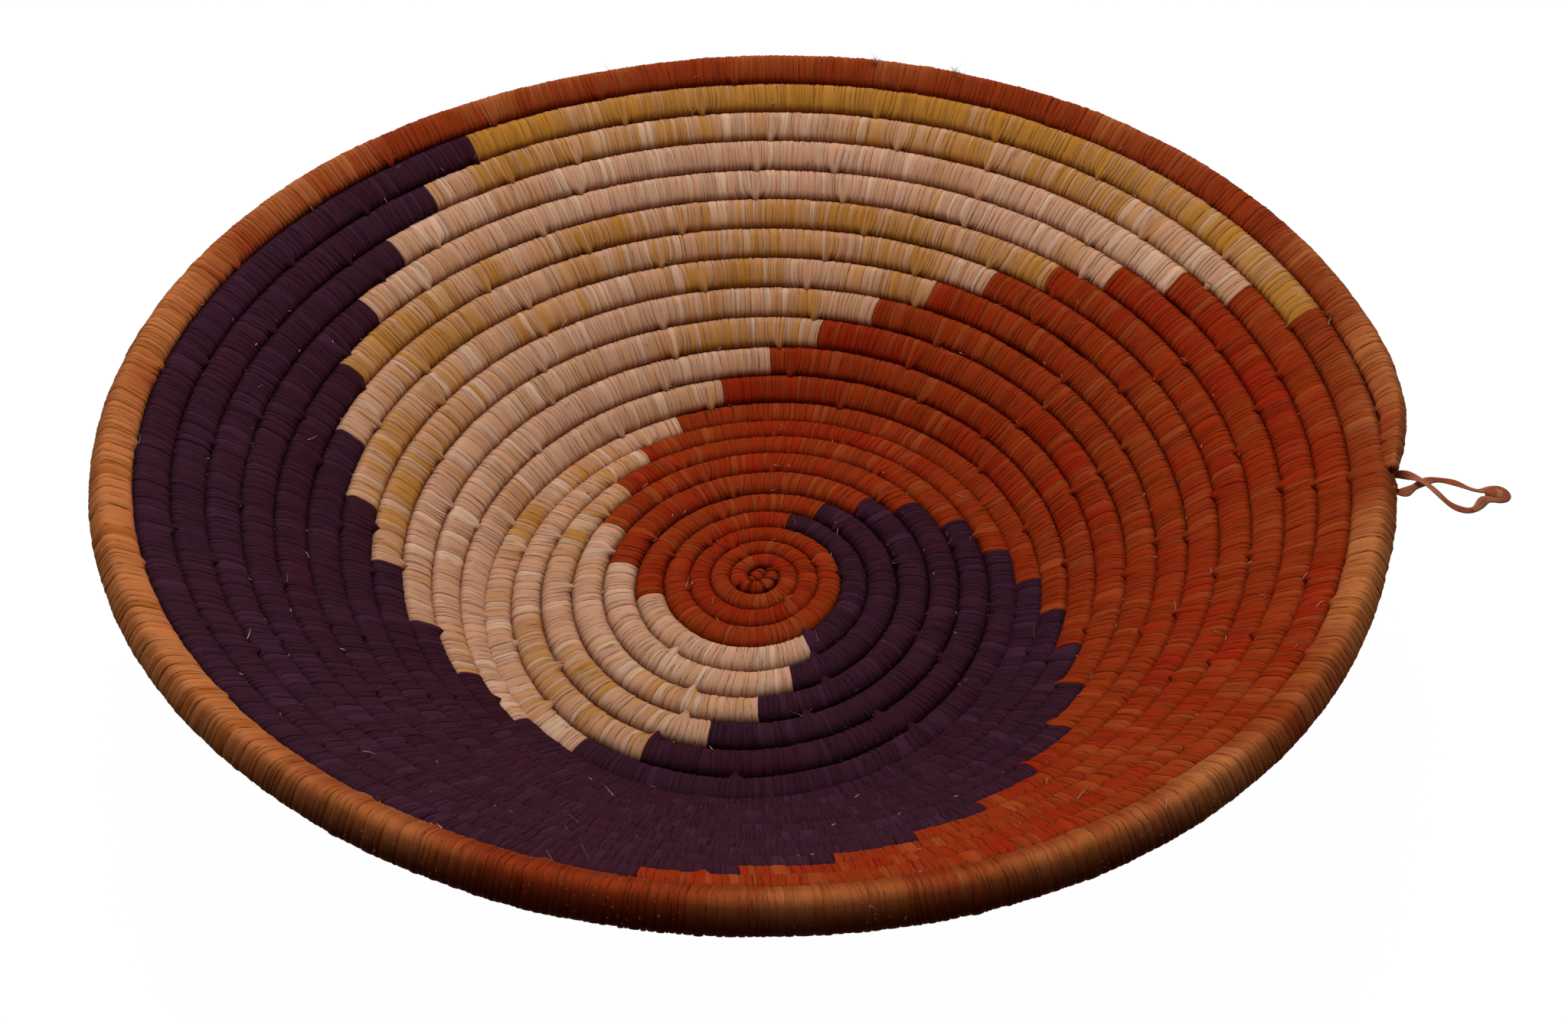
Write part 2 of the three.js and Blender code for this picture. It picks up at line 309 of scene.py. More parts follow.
def tube_mesh(name: str, rings: Array, along: Array, around: float,
              floats: dict[str, Array]) -> bpy.types.Object:
    """Closed tubes through rings of points, each with a cap and a pole at either end.

    Ring i's corner j joins its neighbours at i + 1 and at j + 1, where the last corner comes
    round to the first. Each cap runs from its ring to the ring's mean point.

    Args:
        name: The object's name.
        rings: Points in millimetres, as tubes x rings x corners x 3, or one tube's without the
            first of these, clockwise seen from the start, so that the faces point outwards.
        along: The first texture coordinate, one for each ring of a tube.
        around: The second texture coordinate's length, once round the tube.
        floats: Values for each point of the rings, by attribute name.

    Returns:
        The linked object.
    """
    rings = rings.reshape(-1, *rings.shape[-3:])
    tubes, count, sides = rings.shape[:3]
    poles = np.stack([rings[:, 0].mean(1), rings[:, -1].mean(1)], axis=1)
    points = np.concatenate([rings.reshape(tubes, -1, 3), poles], axis=1)
    base = (np.arange(tubes) * (count * sides + 2))[:, None, None]
    i, j = np.meshgrid(np.arange(count - 1), np.arange(sides), indexing="ij")
    following = (j + 1) % sides
    quads = np.stack([i * sides + j, i * sides + following,
                      (i + 1) * sides + following, (i + 1) * sides + j], axis=-1)
    step = around / sides
    quad_u = np.stack([along[i], along[i], along[i + 1], along[i + 1]], axis=-1)
    quad_v = np.stack([j, j + 1, j + 1, j], axis=-1) * step
    first = np.arange(sides)
    turn = (first + 1) % sides
    last = (count - 1) * sides
    start_cap = np.stack([np.full(sides, count * sides), turn, first], axis=-1)
    end_cap = np.stack([np.full(sides, count * sides + 1), last + first, last + turn], axis=-1)
    cap_v = np.stack([first + 0.5, first + 1, first], axis=-1) * step
    start_uv = np.stack([np.full((sides, 3), along[0]), cap_v], axis=-1)
    end_uv = np.stack([np.full((sides, 3), along[-1]), cap_v[:, [0, 2, 1]]], axis=-1)
    quad_uv = np.stack([quad_u, quad_v], axis=-1).reshape(-1, 4, 2)
    stored = {}
    for key, value in floats.items():
        value = value.reshape(tubes, count, sides)
        ends = np.stack([value[:, 0].mean(1), value[:, -1].mean(1)], axis=1)
        stored[key] = np.concatenate([value.reshape(tubes, -1), ends], axis=1)
    return build_mesh(name, points.reshape(-1, 3),
                      [(quads.reshape(1, -1, 4) + base).reshape(-1, 4),
                       (start_cap[None] + base).reshape(-1, 3),
                       (end_cap[None] + base).reshape(-1, 3)],
                      [np.tile(part, (tubes, 1, 1)) for part in (quad_uv, start_uv, end_uv)],
                      stored)


def smooth_line(stops: Sequence[Sequence[float]], steps: int, ease: float) -> Array:
    """An eased line through stops.

    The straight lines between the stops are cut into even steps. Then, three times over, each
    point becomes the mean of those around it, and past an end the line is its own reflection,
    so that the ends stay in place.

    Args:
        stops: Points, in millimetres.
        steps: The number of points to return.
        ease: How far to either side the means reach, in millimetres.

    Returns:
        The line's points.
    """
    corners = np.array(stops, float)
    gone = np.concatenate([[0], np.cumsum(np.linalg.norm(np.diff(corners, axis=0), axis=1))])
    at = np.linspace(0, gone[-1], steps)
    line = np.stack([np.interp(at, gone, corners[:, k]) for k in range(3)], axis=1)
    reach = max(1, round(ease / gone[-1] * steps))
    for _ in range(3):
        before = 2 * line[:1] - line[reach:0:-1]
        after = 2 * line[-1:] - line[-2:-reach - 2:-1]
        sums = np.cumsum(np.concatenate([np.zeros((1, 3)), before, line, after]), axis=0)
        line = (sums[2 * reach + 1:] - sums[:-2 * reach - 1]) / (2 * reach + 1)
    return line


def cross_frames(line: Array) -> tuple[Array, Array]:
    """Two directions square to a line at each point: one level, and one above it.

    The level one is straight up crossed with the line's own direction, and the other is the
    line's own direction crossed with the level one.

    Args:
        line: Points along the line.

    Returns:
        The level directions and the ones above the line, each 1 long.
    """
    ahead = np.gradient(line, axis=0)
    ahead /= np.linalg.norm(ahead, axis=1, keepdims=True)
    level = np.cross(np.array([0.0, 0.0, 1.0]), ahead)
    level /= np.linalg.norm(level, axis=1, keepdims=True)
    return level, np.cross(ahead, level)


def span(line: Array) -> float:
    """The length of a line through points."""
    return float(np.linalg.norm(np.diff(line, axis=0), axis=1).sum())


def circle(sides: int) -> Array:
    """Even angles once round, anticlockwise from 0."""
    return np.arange(sides) * FULL / sides


def finish_piece(piece: bpy.types.Object, material: bpy.types.Material, body: str,
                 replaced: Sequence[str] = ()) -> None:
    """Gives a piece its material and says which body and CAD nodes it stands for.

    Args:
        piece: The mesh object.
        material: What it is made of.
        body: The body that it moves with.
        replaced: The CAD nodes that it takes the place of.
    """
    piece.data.materials.append(material)
    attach(piece, body)
    if replaced:
        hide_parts(*replaced)
    log.info("%s: %d faces", piece.name, len(piece.data.polygons))


class Graph:
    """A shader node tree, put together with short calls."""

    def __init__(self, tree: bpy.types.NodeTree) -> None:
        """Starts on an empty tree."""
        self.tree = tree

    @classmethod
    def blank(cls, owner: bpy.types.Material | bpy.types.World) -> "Graph":
        """The node tree of a new material or world, emptied."""
        owner.use_nodes = True
        owner.node_tree.nodes.clear()
        return cls(owner.node_tree)

    def close(self, kind: str, shader: bpy.types.Node) -> None:
        """Ends the tree in an output node that shows a shader."""
        self.feed(self.node(kind).inputs[0], shader.outputs[0])

    def node(self, kind: str, inputs: dict[str | int, Any] | None = None,
             **settings: Any) -> bpy.types.Node:
        """Adds a node.

        Args:
            kind: The node type's short name, without its ShaderNode prefix.
            inputs: Values or sockets for its inputs, by name or place.
            settings: Its own properties.

        Returns:
            The node.
        """
        made = self.tree.nodes.new(kind if kind.startswith("Node") else f"ShaderNode{kind}")
        for key, value in settings.items():
            setattr(made, key, value)
        for key, value in (inputs or {}).items():
            self.feed(made.inputs[key], value)
        return made

    def feed(self, socket: Socket, value: Any) -> None:
        """Links a socket to an input, or sets the input's own value.

        Args:
            socket: The input.
            value: A socket, a number or a colour as three numbers.
        """
        if isinstance(value, Socket):
            self.tree.links.new(value, socket)
        elif isinstance(value, tuple) and socket.type == "RGBA":
            socket.default_value = (*value, 1.0)
        else:
            socket.default_value = value

    def math(self, operation: str, *values: Any) -> Socket:
        """The result of a Math node."""
        inputs = dict(enumerate(values))
        return self.node("Math", inputs, operation=operation).outputs[0]

    def vector(self, x: Any, y: Any, z: Any = 0.0) -> Socket:
        """A vector from three values."""
        return self.node("CombineXYZ", {0: x, 1: y, 2: z}).outputs[0]

    def mix(self, share: Any, first: Any, second: Any, blend: str = "MIX") -> Socket:
        """Two colours mixed."""
        return self.node("Mix", {0: share, 6: first, 7: second}, data_type="RGBA",
                         blend_type=blend).outputs[2]

    def rise(self, value: Any, low: float, high: float) -> Socket:
        """0 below one value and 1 above the other, with an S-shaped rise between."""
        return self.node("MapRange", {0: value, 1: low, 2: high},
                         interpolation_type="SMOOTHSTEP").outputs[0]

    def noise(self, vector: Socket, scale: float, detail: float = 2.0,
              roughness: float = 0.55) -> Socket:
        """The value of a Noise Texture node."""
        return self.node("TexNoise", {"Vector": vector, "Scale": scale, "Detail": detail,
                                      "Roughness": roughness}).outputs[0]


class Kind(Enum):
    """The socket types of a node group."""

    VALUE = "NodeSocketFloat"
    COLOUR = "NodeSocketColor"
    VECTOR = "NodeSocketVector"


def start_group(name: str, inputs: dict[str, Kind],
                outputs: dict[str, Kind]) -> tuple[Graph, dict[str, Socket], dict[str, Socket]]:
    """A new node group.

    Args:
        name: The group's name.
        inputs: Its inputs' names and kinds.
        outputs: Its outputs' names and kinds.

    Returns:
        The group's graph, its inputs' sockets and its outputs' sockets, as seen from inside.
    """
    tree = bpy.data.node_groups.new(name, "ShaderNodeTree")
    for key, kind in inputs.items():
        tree.interface.new_socket(key, in_out="INPUT", socket_type=kind.value)
    for key, kind in outputs.items():
        tree.interface.new_socket(key, in_out="OUTPUT", socket_type=kind.value)
    graph = Graph(tree)
    entry, leave = graph.node("NodeGroupInput"), graph.node("NodeGroupOutput")
    return graph, {key: entry.outputs[key] for key in inputs}, {
        key: leave.inputs[key] for key in outputs}


class RaffiaEffects:
    """The node groups that every raffia finish shares, each built once."""

    fibres: tuple[float, float] = (5.0, 0.12)
    streaks: tuple[float, float] = (1.4, 0.045)
    patches: tuple[float, float] = (0.2, 0.03)
    nicks: tuple[float, float] = (5.3, 0.3)
    fibre_shift: float = 3.7
    edge_share: float = 0.085
    nick_range: tuple[float, float] = (0.4, 0.66)
    rift_range: tuple[float, float] = (0.27, 0.4)
    rift_depth: float = 0.7
    tone_weights: tuple[tuple[str, float], ...] = (
        ("Random", 0.35), ("Streak", 1.3), ("Patch", 0.8), ("Fibre", 0.9))
    second_range: tuple[float, float] = (0.08, 0.92)
    third_range: tuple[float, float] = (1.1, 1.35)
    third_fade: tuple[float, float] = (0.2, 1.1)
    fibre_shade: tuple[float, float] = (0.8, 0.6)
    strand_shade: tuple[float, float] = (0.14, 0.93)
    most_shade: float = 0.9
    specks_per_metre: float = 1500.0
    speck_range: tuple[float, float] = (0.76, 0.8)
    dust_per_metre: float = 45.0
    dust_range: tuple[float, float] = (0.45, 0.7)
    crease_specks: float = 2.5
    open_specks: float = 0.06

    def __init__(self) -> None:
        """Builds the groups."""
        self.pattern = self.strand_pattern()
        self.tones = self.dye_tones()
        self.shade_and_specks = self.crease_shade_and_specks()

    def strand_pattern(self) -> bpy.types.NodeTree:
        """Strand by strand values: random ones for each, its fibres, the streaks and patches of
        its dye, and its dark edges and splits.

        The first coordinate counts strands and their fractions, and the second runs along each
        strand in millimetres. Fibres, streaks, patches and the nicks at the edges are noise,
        each with a count of features to a strand and a lower one to a millimetre along it.

        Returns:
            The group's tree.
        """
        graph, given, out = start_group(
            "strand_pattern", {"Strands": Kind.VECTOR},
            {"Random": Kind.VALUE, "Other Random": Kind.VALUE, "Fibre": Kind.VALUE,
             "Streak": Kind.VALUE, "Patch": Kind.VALUE, "Edge": Kind.VALUE})
        parts = graph.node("SeparateXYZ", {0: given["Strands"]})
        count, run = parts.outputs[0], parts.outputs[1]
        index = graph.math("FLOOR", count)
        share = graph.math("FRACT", count)
        random = graph.node("TexWhiteNoise", {"W": index}, noise_dimensions="1D")
        split = graph.node("SeparateColor", {0: random.outputs["Color"]})
        layer = graph.math("MULTIPLY", index, self.fibre_shift)
        fibre_place = self.drawn_out(graph, count, run, self.fibres, layer)
        streak_place = self.drawn_out(graph, count, run, self.streaks, 4.0)
        patch_place = self.drawn_out(graph, count, run, self.patches, 21.0)
        edge_place = self.drawn_out(graph, index, run, self.nicks, 9.0)
        fibre = graph.noise(fibre_place, 1.0, 3.0, 0.65)
        from_edge = graph.math("MINIMUM", share, graph.math("SUBTRACT", 1.0, share))
        near = graph.math("SUBTRACT", 1.0, graph.rise(from_edge, 0.0, self.edge_share))
        broken = graph.rise(graph.noise(edge_place, 1.0, 1.0), *self.nick_range)
        rift = graph.math("SUBTRACT", 1.0, graph.rise(fibre, *self.rift_range))
        graph.feed(out["Random"], split.outputs[0])
        graph.feed(out["Other Random"], split.outputs[1])
        graph.feed(out["Fibre"], fibre)
        graph.feed(out["Streak"], graph.noise(streak_place, 1.0, 2.0, 0.6))
        graph.feed(out["Patch"], graph.noise(patch_place, 1.0, 2.0))
        graph.feed(out["Edge"], graph.math("MAXIMUM", graph.math("MULTIPLY", near, broken),
                                           graph.math("MULTIPLY", rift, self.rift_depth)))
        return graph.tree

    @staticmethod
    def drawn_out(graph: Graph, across: Socket, along: Socket, counts: tuple[float, float],
                  layer: Any) -> Socket:
        """A place in a noise that is drawn out along the strands.

        Args:
            graph: The group's graph.
            across: The coordinate across the strands.
            along: The coordinate along them.
            counts: How many features lie in a unit of each.
            layer: Which layer of the noise is read.

        Returns:
            The place, as a vector.
        """
        return graph.vector(graph.math("MULTIPLY", across, counts[0]),
                            graph.math("MULTIPLY", along, counts[1]), layer)

    def dye_tones(self) -> bpy.types.NodeTree:
        """Three tones of a dye: streaks of the second one over the first, some strands in the
        third, and fibres lighter and darker.

        The tone moves by each of the strand's values, less its mean, times a weight and the
        dye's contrast.

        Returns:
            The group's tree.
        """
        graph, given, out = start_group(
            "dye_tones",
            {"First": Kind.COLOUR, "Second": Kind.COLOUR, "Third": Kind.COLOUR,
             "Tone": Kind.VALUE, "Contrast": Kind.VALUE, "Random": Kind.VALUE,
             "Other Random": Kind.VALUE, "Fibre": Kind.VALUE, "Streak": Kind.VALUE,
             "Patch": Kind.VALUE},
            {"Color": Kind.COLOUR})
        parts = [graph.math("MULTIPLY", given["Contrast"],
                            graph.math("MULTIPLY_ADD", given[key], weight, -weight / 2))
                 for key, weight in self.tone_weights]
        level = given["Tone"]
        for part in parts:
            level = graph.math("ADD", level, part)
        second = graph.mix(graph.rise(level, *self.second_range), given["First"],
                           given["Second"])
        streaky = graph.math("MULTIPLY_ADD", given["Streak"], 0.8, given["Other Random"])
        chosen = graph.rise(streaky, *self.third_range)
        little = graph.math("SUBTRACT", 1.0, graph.rise(given["Tone"], *self.third_fade))
        third = graph.mix(graph.math("MULTIPLY", chosen, little), second, given["Third"])
        by_fibre = graph.math("MULTIPLY_ADD", given["Fibre"], *self.fibre_shade)
        by_strand = graph.math("MULTIPLY_ADD", given["Random"], *self.strand_shade)
        shade = graph.math("MULTIPLY", by_fibre, by_strand)
        grey = graph.node("CombineColor", {0: shade, 1: shade, 2: shade}).outputs[0]
        graph.feed(out["Color"], graph.mix(1.0, third, grey, "MULTIPLY"))
        return graph.tree

    def crease_shade_and_specks(self) -> bpy.types.NodeTree:
        """Painted shade in the creases, a darker and richer colour; the same dark colour at strand
        edges; and small pale specks, most of them down in the creases and in some places more
        than in others.

        Returns:
            The group's tree.
        """
        graph, given, out = start_group(
            "crease_shade_and_specks",
            {"Color": Kind.COLOUR, "Deep": Kind.COLOUR, "Speck": Kind.COLOUR,
             "Crease Shade": Kind.VALUE, "Edge": Kind.VALUE, "Place": Kind.VECTOR},
            {"Color": Kind.COLOUR})
        # Painted shade: the colour darkens towards the deep colour by the crease shade, and
        # likewise at strand edges.
        deeper = graph.math("MAXIMUM", given["Crease Shade"], given["Edge"])
        depth = graph.math("MULTIPLY", deeper, self.most_shade)
        deep = graph.mix(depth, given["Color"], given["Deep"])
        spots = graph.rise(graph.noise(given["Place"], self.specks_per_metre, 0.0),
                           *self.speck_range)
        dusty = graph.rise(graph.noise(given["Place"], self.dust_per_metre, 1.0),
                           *self.dust_range)
        low = graph.math("MULTIPLY_ADD", given["Crease Shade"], self.crease_specks, self.open_specks)
        amount = graph.math("MULTIPLY", spots, graph.math("MULTIPLY", dusty, low))
        held = graph.math("MINIMUM", amount, self.most_shade)
        graph.feed(out["Color"], graph.mix(held, deep, given["Speck"]))
        return graph.tree


@dataclass(frozen=True)
class RaffiaFinish:
    """One dyed raffia, with its three tones, the colour of its painted crease shade and of its
    specks.
    """

    name: str
    slot: str
    first: Colour
    second: Colour
    third: Colour
    # The dark colour of the painted shade in creases, also used at strand edges.
    deep: Colour
    speck: Colour
    roughness: float = 0.75
    specular: float = 0.03
    contrast: float = 1.0
    relief: float = 0.7
    relief_height: float = 0.25
    roughness_range: float = 0.12

    def material(self, effects: RaffiaEffects) -> bpy.types.Material:
        """The finish as a material on the strands' own coordinates.

        Args:
            effects: The node groups that it uses.

        Returns:
            The material.
        """
        made = bpy.data.materials.new(self.name)
        graph = Graph.blank(made)
        strands = graph.node("UVMap", uv_map="strands").outputs[0]
        place = graph.node("TexCoord").outputs["Object"]
        tone = graph.node("Attribute", attribute_name="tone").outputs["Fac"]
        # Painted shade for the creases and for the rim's front under side, stored on the mesh.
        crease_shade = graph.node("Attribute", attribute_name="crease_shade").outputs["Fac"]
        pattern = graph.node("Group", node_tree=effects.pattern)
        graph.feed(pattern.inputs[0], strands)
        found = {key: pattern.outputs[key] for key in
                 ("Random", "Other Random", "Fibre", "Streak", "Patch")}
        tones = graph.node("Group", node_tree=effects.tones)
        for key, value in {"First": self.first, "Second": self.second, "Third": self.third,
                           "Tone": tone, "Contrast": self.contrast, **found}.items():
            graph.feed(tones.inputs[key], value)
        # Painted shade in the creases and dark strand edges, with pale specks.
        shade_and_specks = graph.node("Group", node_tree=effects.shade_and_specks)
        for key, value in {"Color": tones.outputs[0], "Deep": self.deep, "Speck": self.speck,
                           "Crease Shade": crease_shade, "Edge": pattern.outputs["Edge"],
                           "Place": place}.items():
            graph.feed(shade_and_specks.inputs[key], value)
        height = graph.math("SUBTRACT", pattern.outputs["Fibre"], pattern.outputs["Edge"])
        bump = graph.node("Bump", {"Height": height, "Strength": self.relief,
                                   "Distance": self.relief_height * MM})
        shader = graph.node("BsdfPrincipled", {
            "Base Color": shade_and_specks.outputs[0], "Normal": bump.outputs[0],
            "Specular IOR Level": self.specular,
            "Roughness": graph.math("MULTIPLY_ADD", pattern.outputs["Random"],
                                    self.roughness_range,
                                    self.roughness - self.roughness_range / 2)})
        graph.close("OutputMaterial", shader)
        return made


class Raffia(Enum):
    """The finishes of the bowl's raffia."""

    # The fourth colour of each finish is the dark colour of its painted crease shade.
    ORANGE = RaffiaFinish("orange_raffia", "orange_raffia", linear(143, 49, 15),
                          linear(144, 31, 8), linear(150, 64, 26), linear(70, 7, 1),
                          linear(176, 130, 100), contrast=0.8)
    NATURAL = RaffiaFinish("natural_raffia", "natural_raffia", linear(201, 151, 120),
                           linear(176, 118, 46), linear(211, 171, 141), linear(96, 40, 16),
                           linear(190, 150, 130))
    PURPLE = RaffiaFinish("purple_raffia", "purple_raffia", linear(53, 25, 38),
                          linear(56, 22, 32), linear(62, 32, 47), linear(16, 2, 7),
                          linear(140, 112, 108), contrast=0.6)
    RIM = RaffiaFinish("rim_raffia", "rim_raffia", linear(188, 112, 62), linear(138, 50, 17),
                       linear(166, 92, 40), linear(56, 6, 1), linear(176, 130, 100),
                       contrast=0.5)
    LOOP = RaffiaFinish("loop_raffia", "loop_raffia", linear(178, 112, 76), linear(150, 74, 42),
                        linear(206, 162, 122), linear(100, 34, 14), linear(190, 150, 120),
                        specular=0.1)
    STRAY = RaffiaFinish("stray_fibres", "natural_raffia", linear(206, 172, 150),
                         linear(140, 84, 52), linear(216, 196, 180), linear(120, 80, 60),
                         linear(216, 196, 180))


class Dye(Enum):
    """The three colours of the swirl, in their order along the coil."""

    NATURAL = "natural"
    PURPLE = "purple"
    ORANGE = "orange"


@dataclass(frozen=True)
class ColourStart:
    """Where a colour starts in each course: an angle that grows with the course."""

    angle: float
    step: float
    growth: float
    late_growth: float = 0.0

    def turn(self, course: int) -> float:
        """The turn at which the colour starts: the course plus its angle, which is a cubic in
        the course, over 360 degrees.

        Args:
            course: The course's number, counted inward from 1.

        Returns:
            The turn.
        """
        degrees = (self.angle + self.step * course + self.growth * course**2
                   + self.late_growth * course**3)
        return course + degrees / 360


@dataclass
class HandShape:
    """The small departures of the hand-made bowl from a perfect one.

    The base lies a little to one side and is faintly domed, the wall has a slight belly, and
    the wall and rim are out of round and wavy. A wave is a pair of amplitudes, times the cosine
    and the sine of once, twice or three times the angle.
    """

    route: CoilRoute
    base_side: tuple[float, float] = (-0.12, -2.6)
    slip: float = -1.8
    slip_place: float = 0.45
    slip_reach: float = 0.2
    base_mean: float = 0.87
    base_once: tuple[float, float] = (0.0, -4.95)
    base_twice: tuple[float, float] = (0.17, 1.54)
    dome: float = 1.13
    belly: float = 0.48
    belly_twice: tuple[float, float] = (0.12, -1.23)
    wall_mean: float = 0.44
    wall_once: tuple[float, float] = (-0.48, -1.79)
    wall_twice: tuple[float, float] = (2.28, -0.18)
    wall_thrice: tuple[float, float] = (-1.4, 0.69)
    rise_twice: tuple[float, float] = (-1.55, -0.67)
    wall_length: float = 94.0
    loop_angle: float = LOOP_ANGLE
    loop_reach: float = math.radians(20)
    stretch_limits: tuple[float, float] = (-0.08, 0.14)

    @staticmethod
    def wave(amplitudes: tuple[float, float], angle: Array, times: int) -> Array:
        """An amplitude times the cosine plus an amplitude times the sine of the angle."""
        return amplitudes[0] * np.cos(times * angle) + amplitudes[1] * np.sin(times * angle)

    def parts(self, distance: Array, angle: Array) -> tuple[Array, ...]:
        """The shares of base and wall at a place, and the outward shifts that they take.

        The share of base is the distance over the base's radius, and that of wall is the
        distance past it over the wall's length. Each shift is its mean plus its waves.

        Args:
            distance: Distances along the profile from the spiral's axis.
            angle: Angles round the bowl, in radians.

        Returns:
            The share of base, the share of wall, and the base's, the belly's and the wall's
            outward shifts.
        """
        share = np.clip(distance / self.route.base_radius, 0, 1)
        up_wall = np.clip((distance - self.route.base_radius) / self.wall_length, 0, 1.2)
        base = (self.base_mean + self.wave(self.base_once, angle, 1)
                + self.wave(self.base_twice, angle, 2))
        belly = self.belly + self.wave(self.belly_twice, angle, 2)
        wall = (self.wall_mean + self.wave(self.wall_once, angle, 1)
                + self.wave(self.wall_twice, angle, 2) + self.wave(self.wall_thrice, angle, 3))
        return share, up_wall, base, belly, wall

    def shift(self, distance: Array, angle: Array) -> tuple[Array, Array, Array, Array]:
        """How far the coil lies outward, upward and along x and y of its perfect place.

        The base's shift grows from the axis to the bend and fades up the wall. The wall's grows
        from the bend to the rim, and the belly is largest halfway up. The rise is held back near
        the hanging loop, whose seat is at its true height. Halfway out on the base, the turns
        have slipped aside.

        Args:
            distance: Distances along the profile from the spiral's axis.
            angle: Angles round the bowl, in radians.

        Returns:
            The shifts outward, upward, along x and along y, in millimetres.
        """
        share, up_wall, base, belly, wall = self.parts(distance, angle)
        fade = np.clip(1 - up_wall, 0, 1)
        away = np.angle(np.exp(1j * (angle - self.loop_angle)))
        free = 1 - np.exp(-((away / self.loop_reach) ** 2)) * smooth_step(up_wall * 1.5 - 0.5)
        out = base * share * fade + wall * up_wall + belly * 4 * np.minimum(up_wall, 1) * fade
        rise = (self.wave(self.rise_twice, angle, 2) * up_wall * free
                + self.dome * (1 - share))
        slip = self.slip * np.exp(-(((share - self.slip_place) / self.slip_reach) ** 2))
        return out, rise, self.base_side[0] * fade, self.base_side[1] * fade + slip

    def stretch(self, distance: Array, angle: Array, slope: Array) -> Array:
        """How much wider than planned the courses lie: the slope of the outward shift.

        Args:
            distance: Distances along the profile from the spiral's axis.
            angle: Angles round the bowl, in radians.
            slope: The profile's slope at those distances.

        Returns:
            Shares of the planned width, to be added to 1.
        """
        share, up_wall, base, belly, wall = self.parts(distance, angle)
        side = self.base_side[0] * np.cos(angle) + self.base_side[1] * np.sin(angle)
        on_wall = (wall - base - side + belly * 4 * (1 - 2 * up_wall)) / self.wall_length
        away = (share - self.slip_place) / self.slip_reach
        slipped = -2 * self.slip * away / self.slip_reach * np.exp(-(away**2)) * np.sin(angle)
        in_base = (base + slipped) / self.route.base_radius
        shares = np.where(up_wall > 0, on_wall * np.cos(slope), in_base)
        return np.clip(shares, *self.stretch_limits)


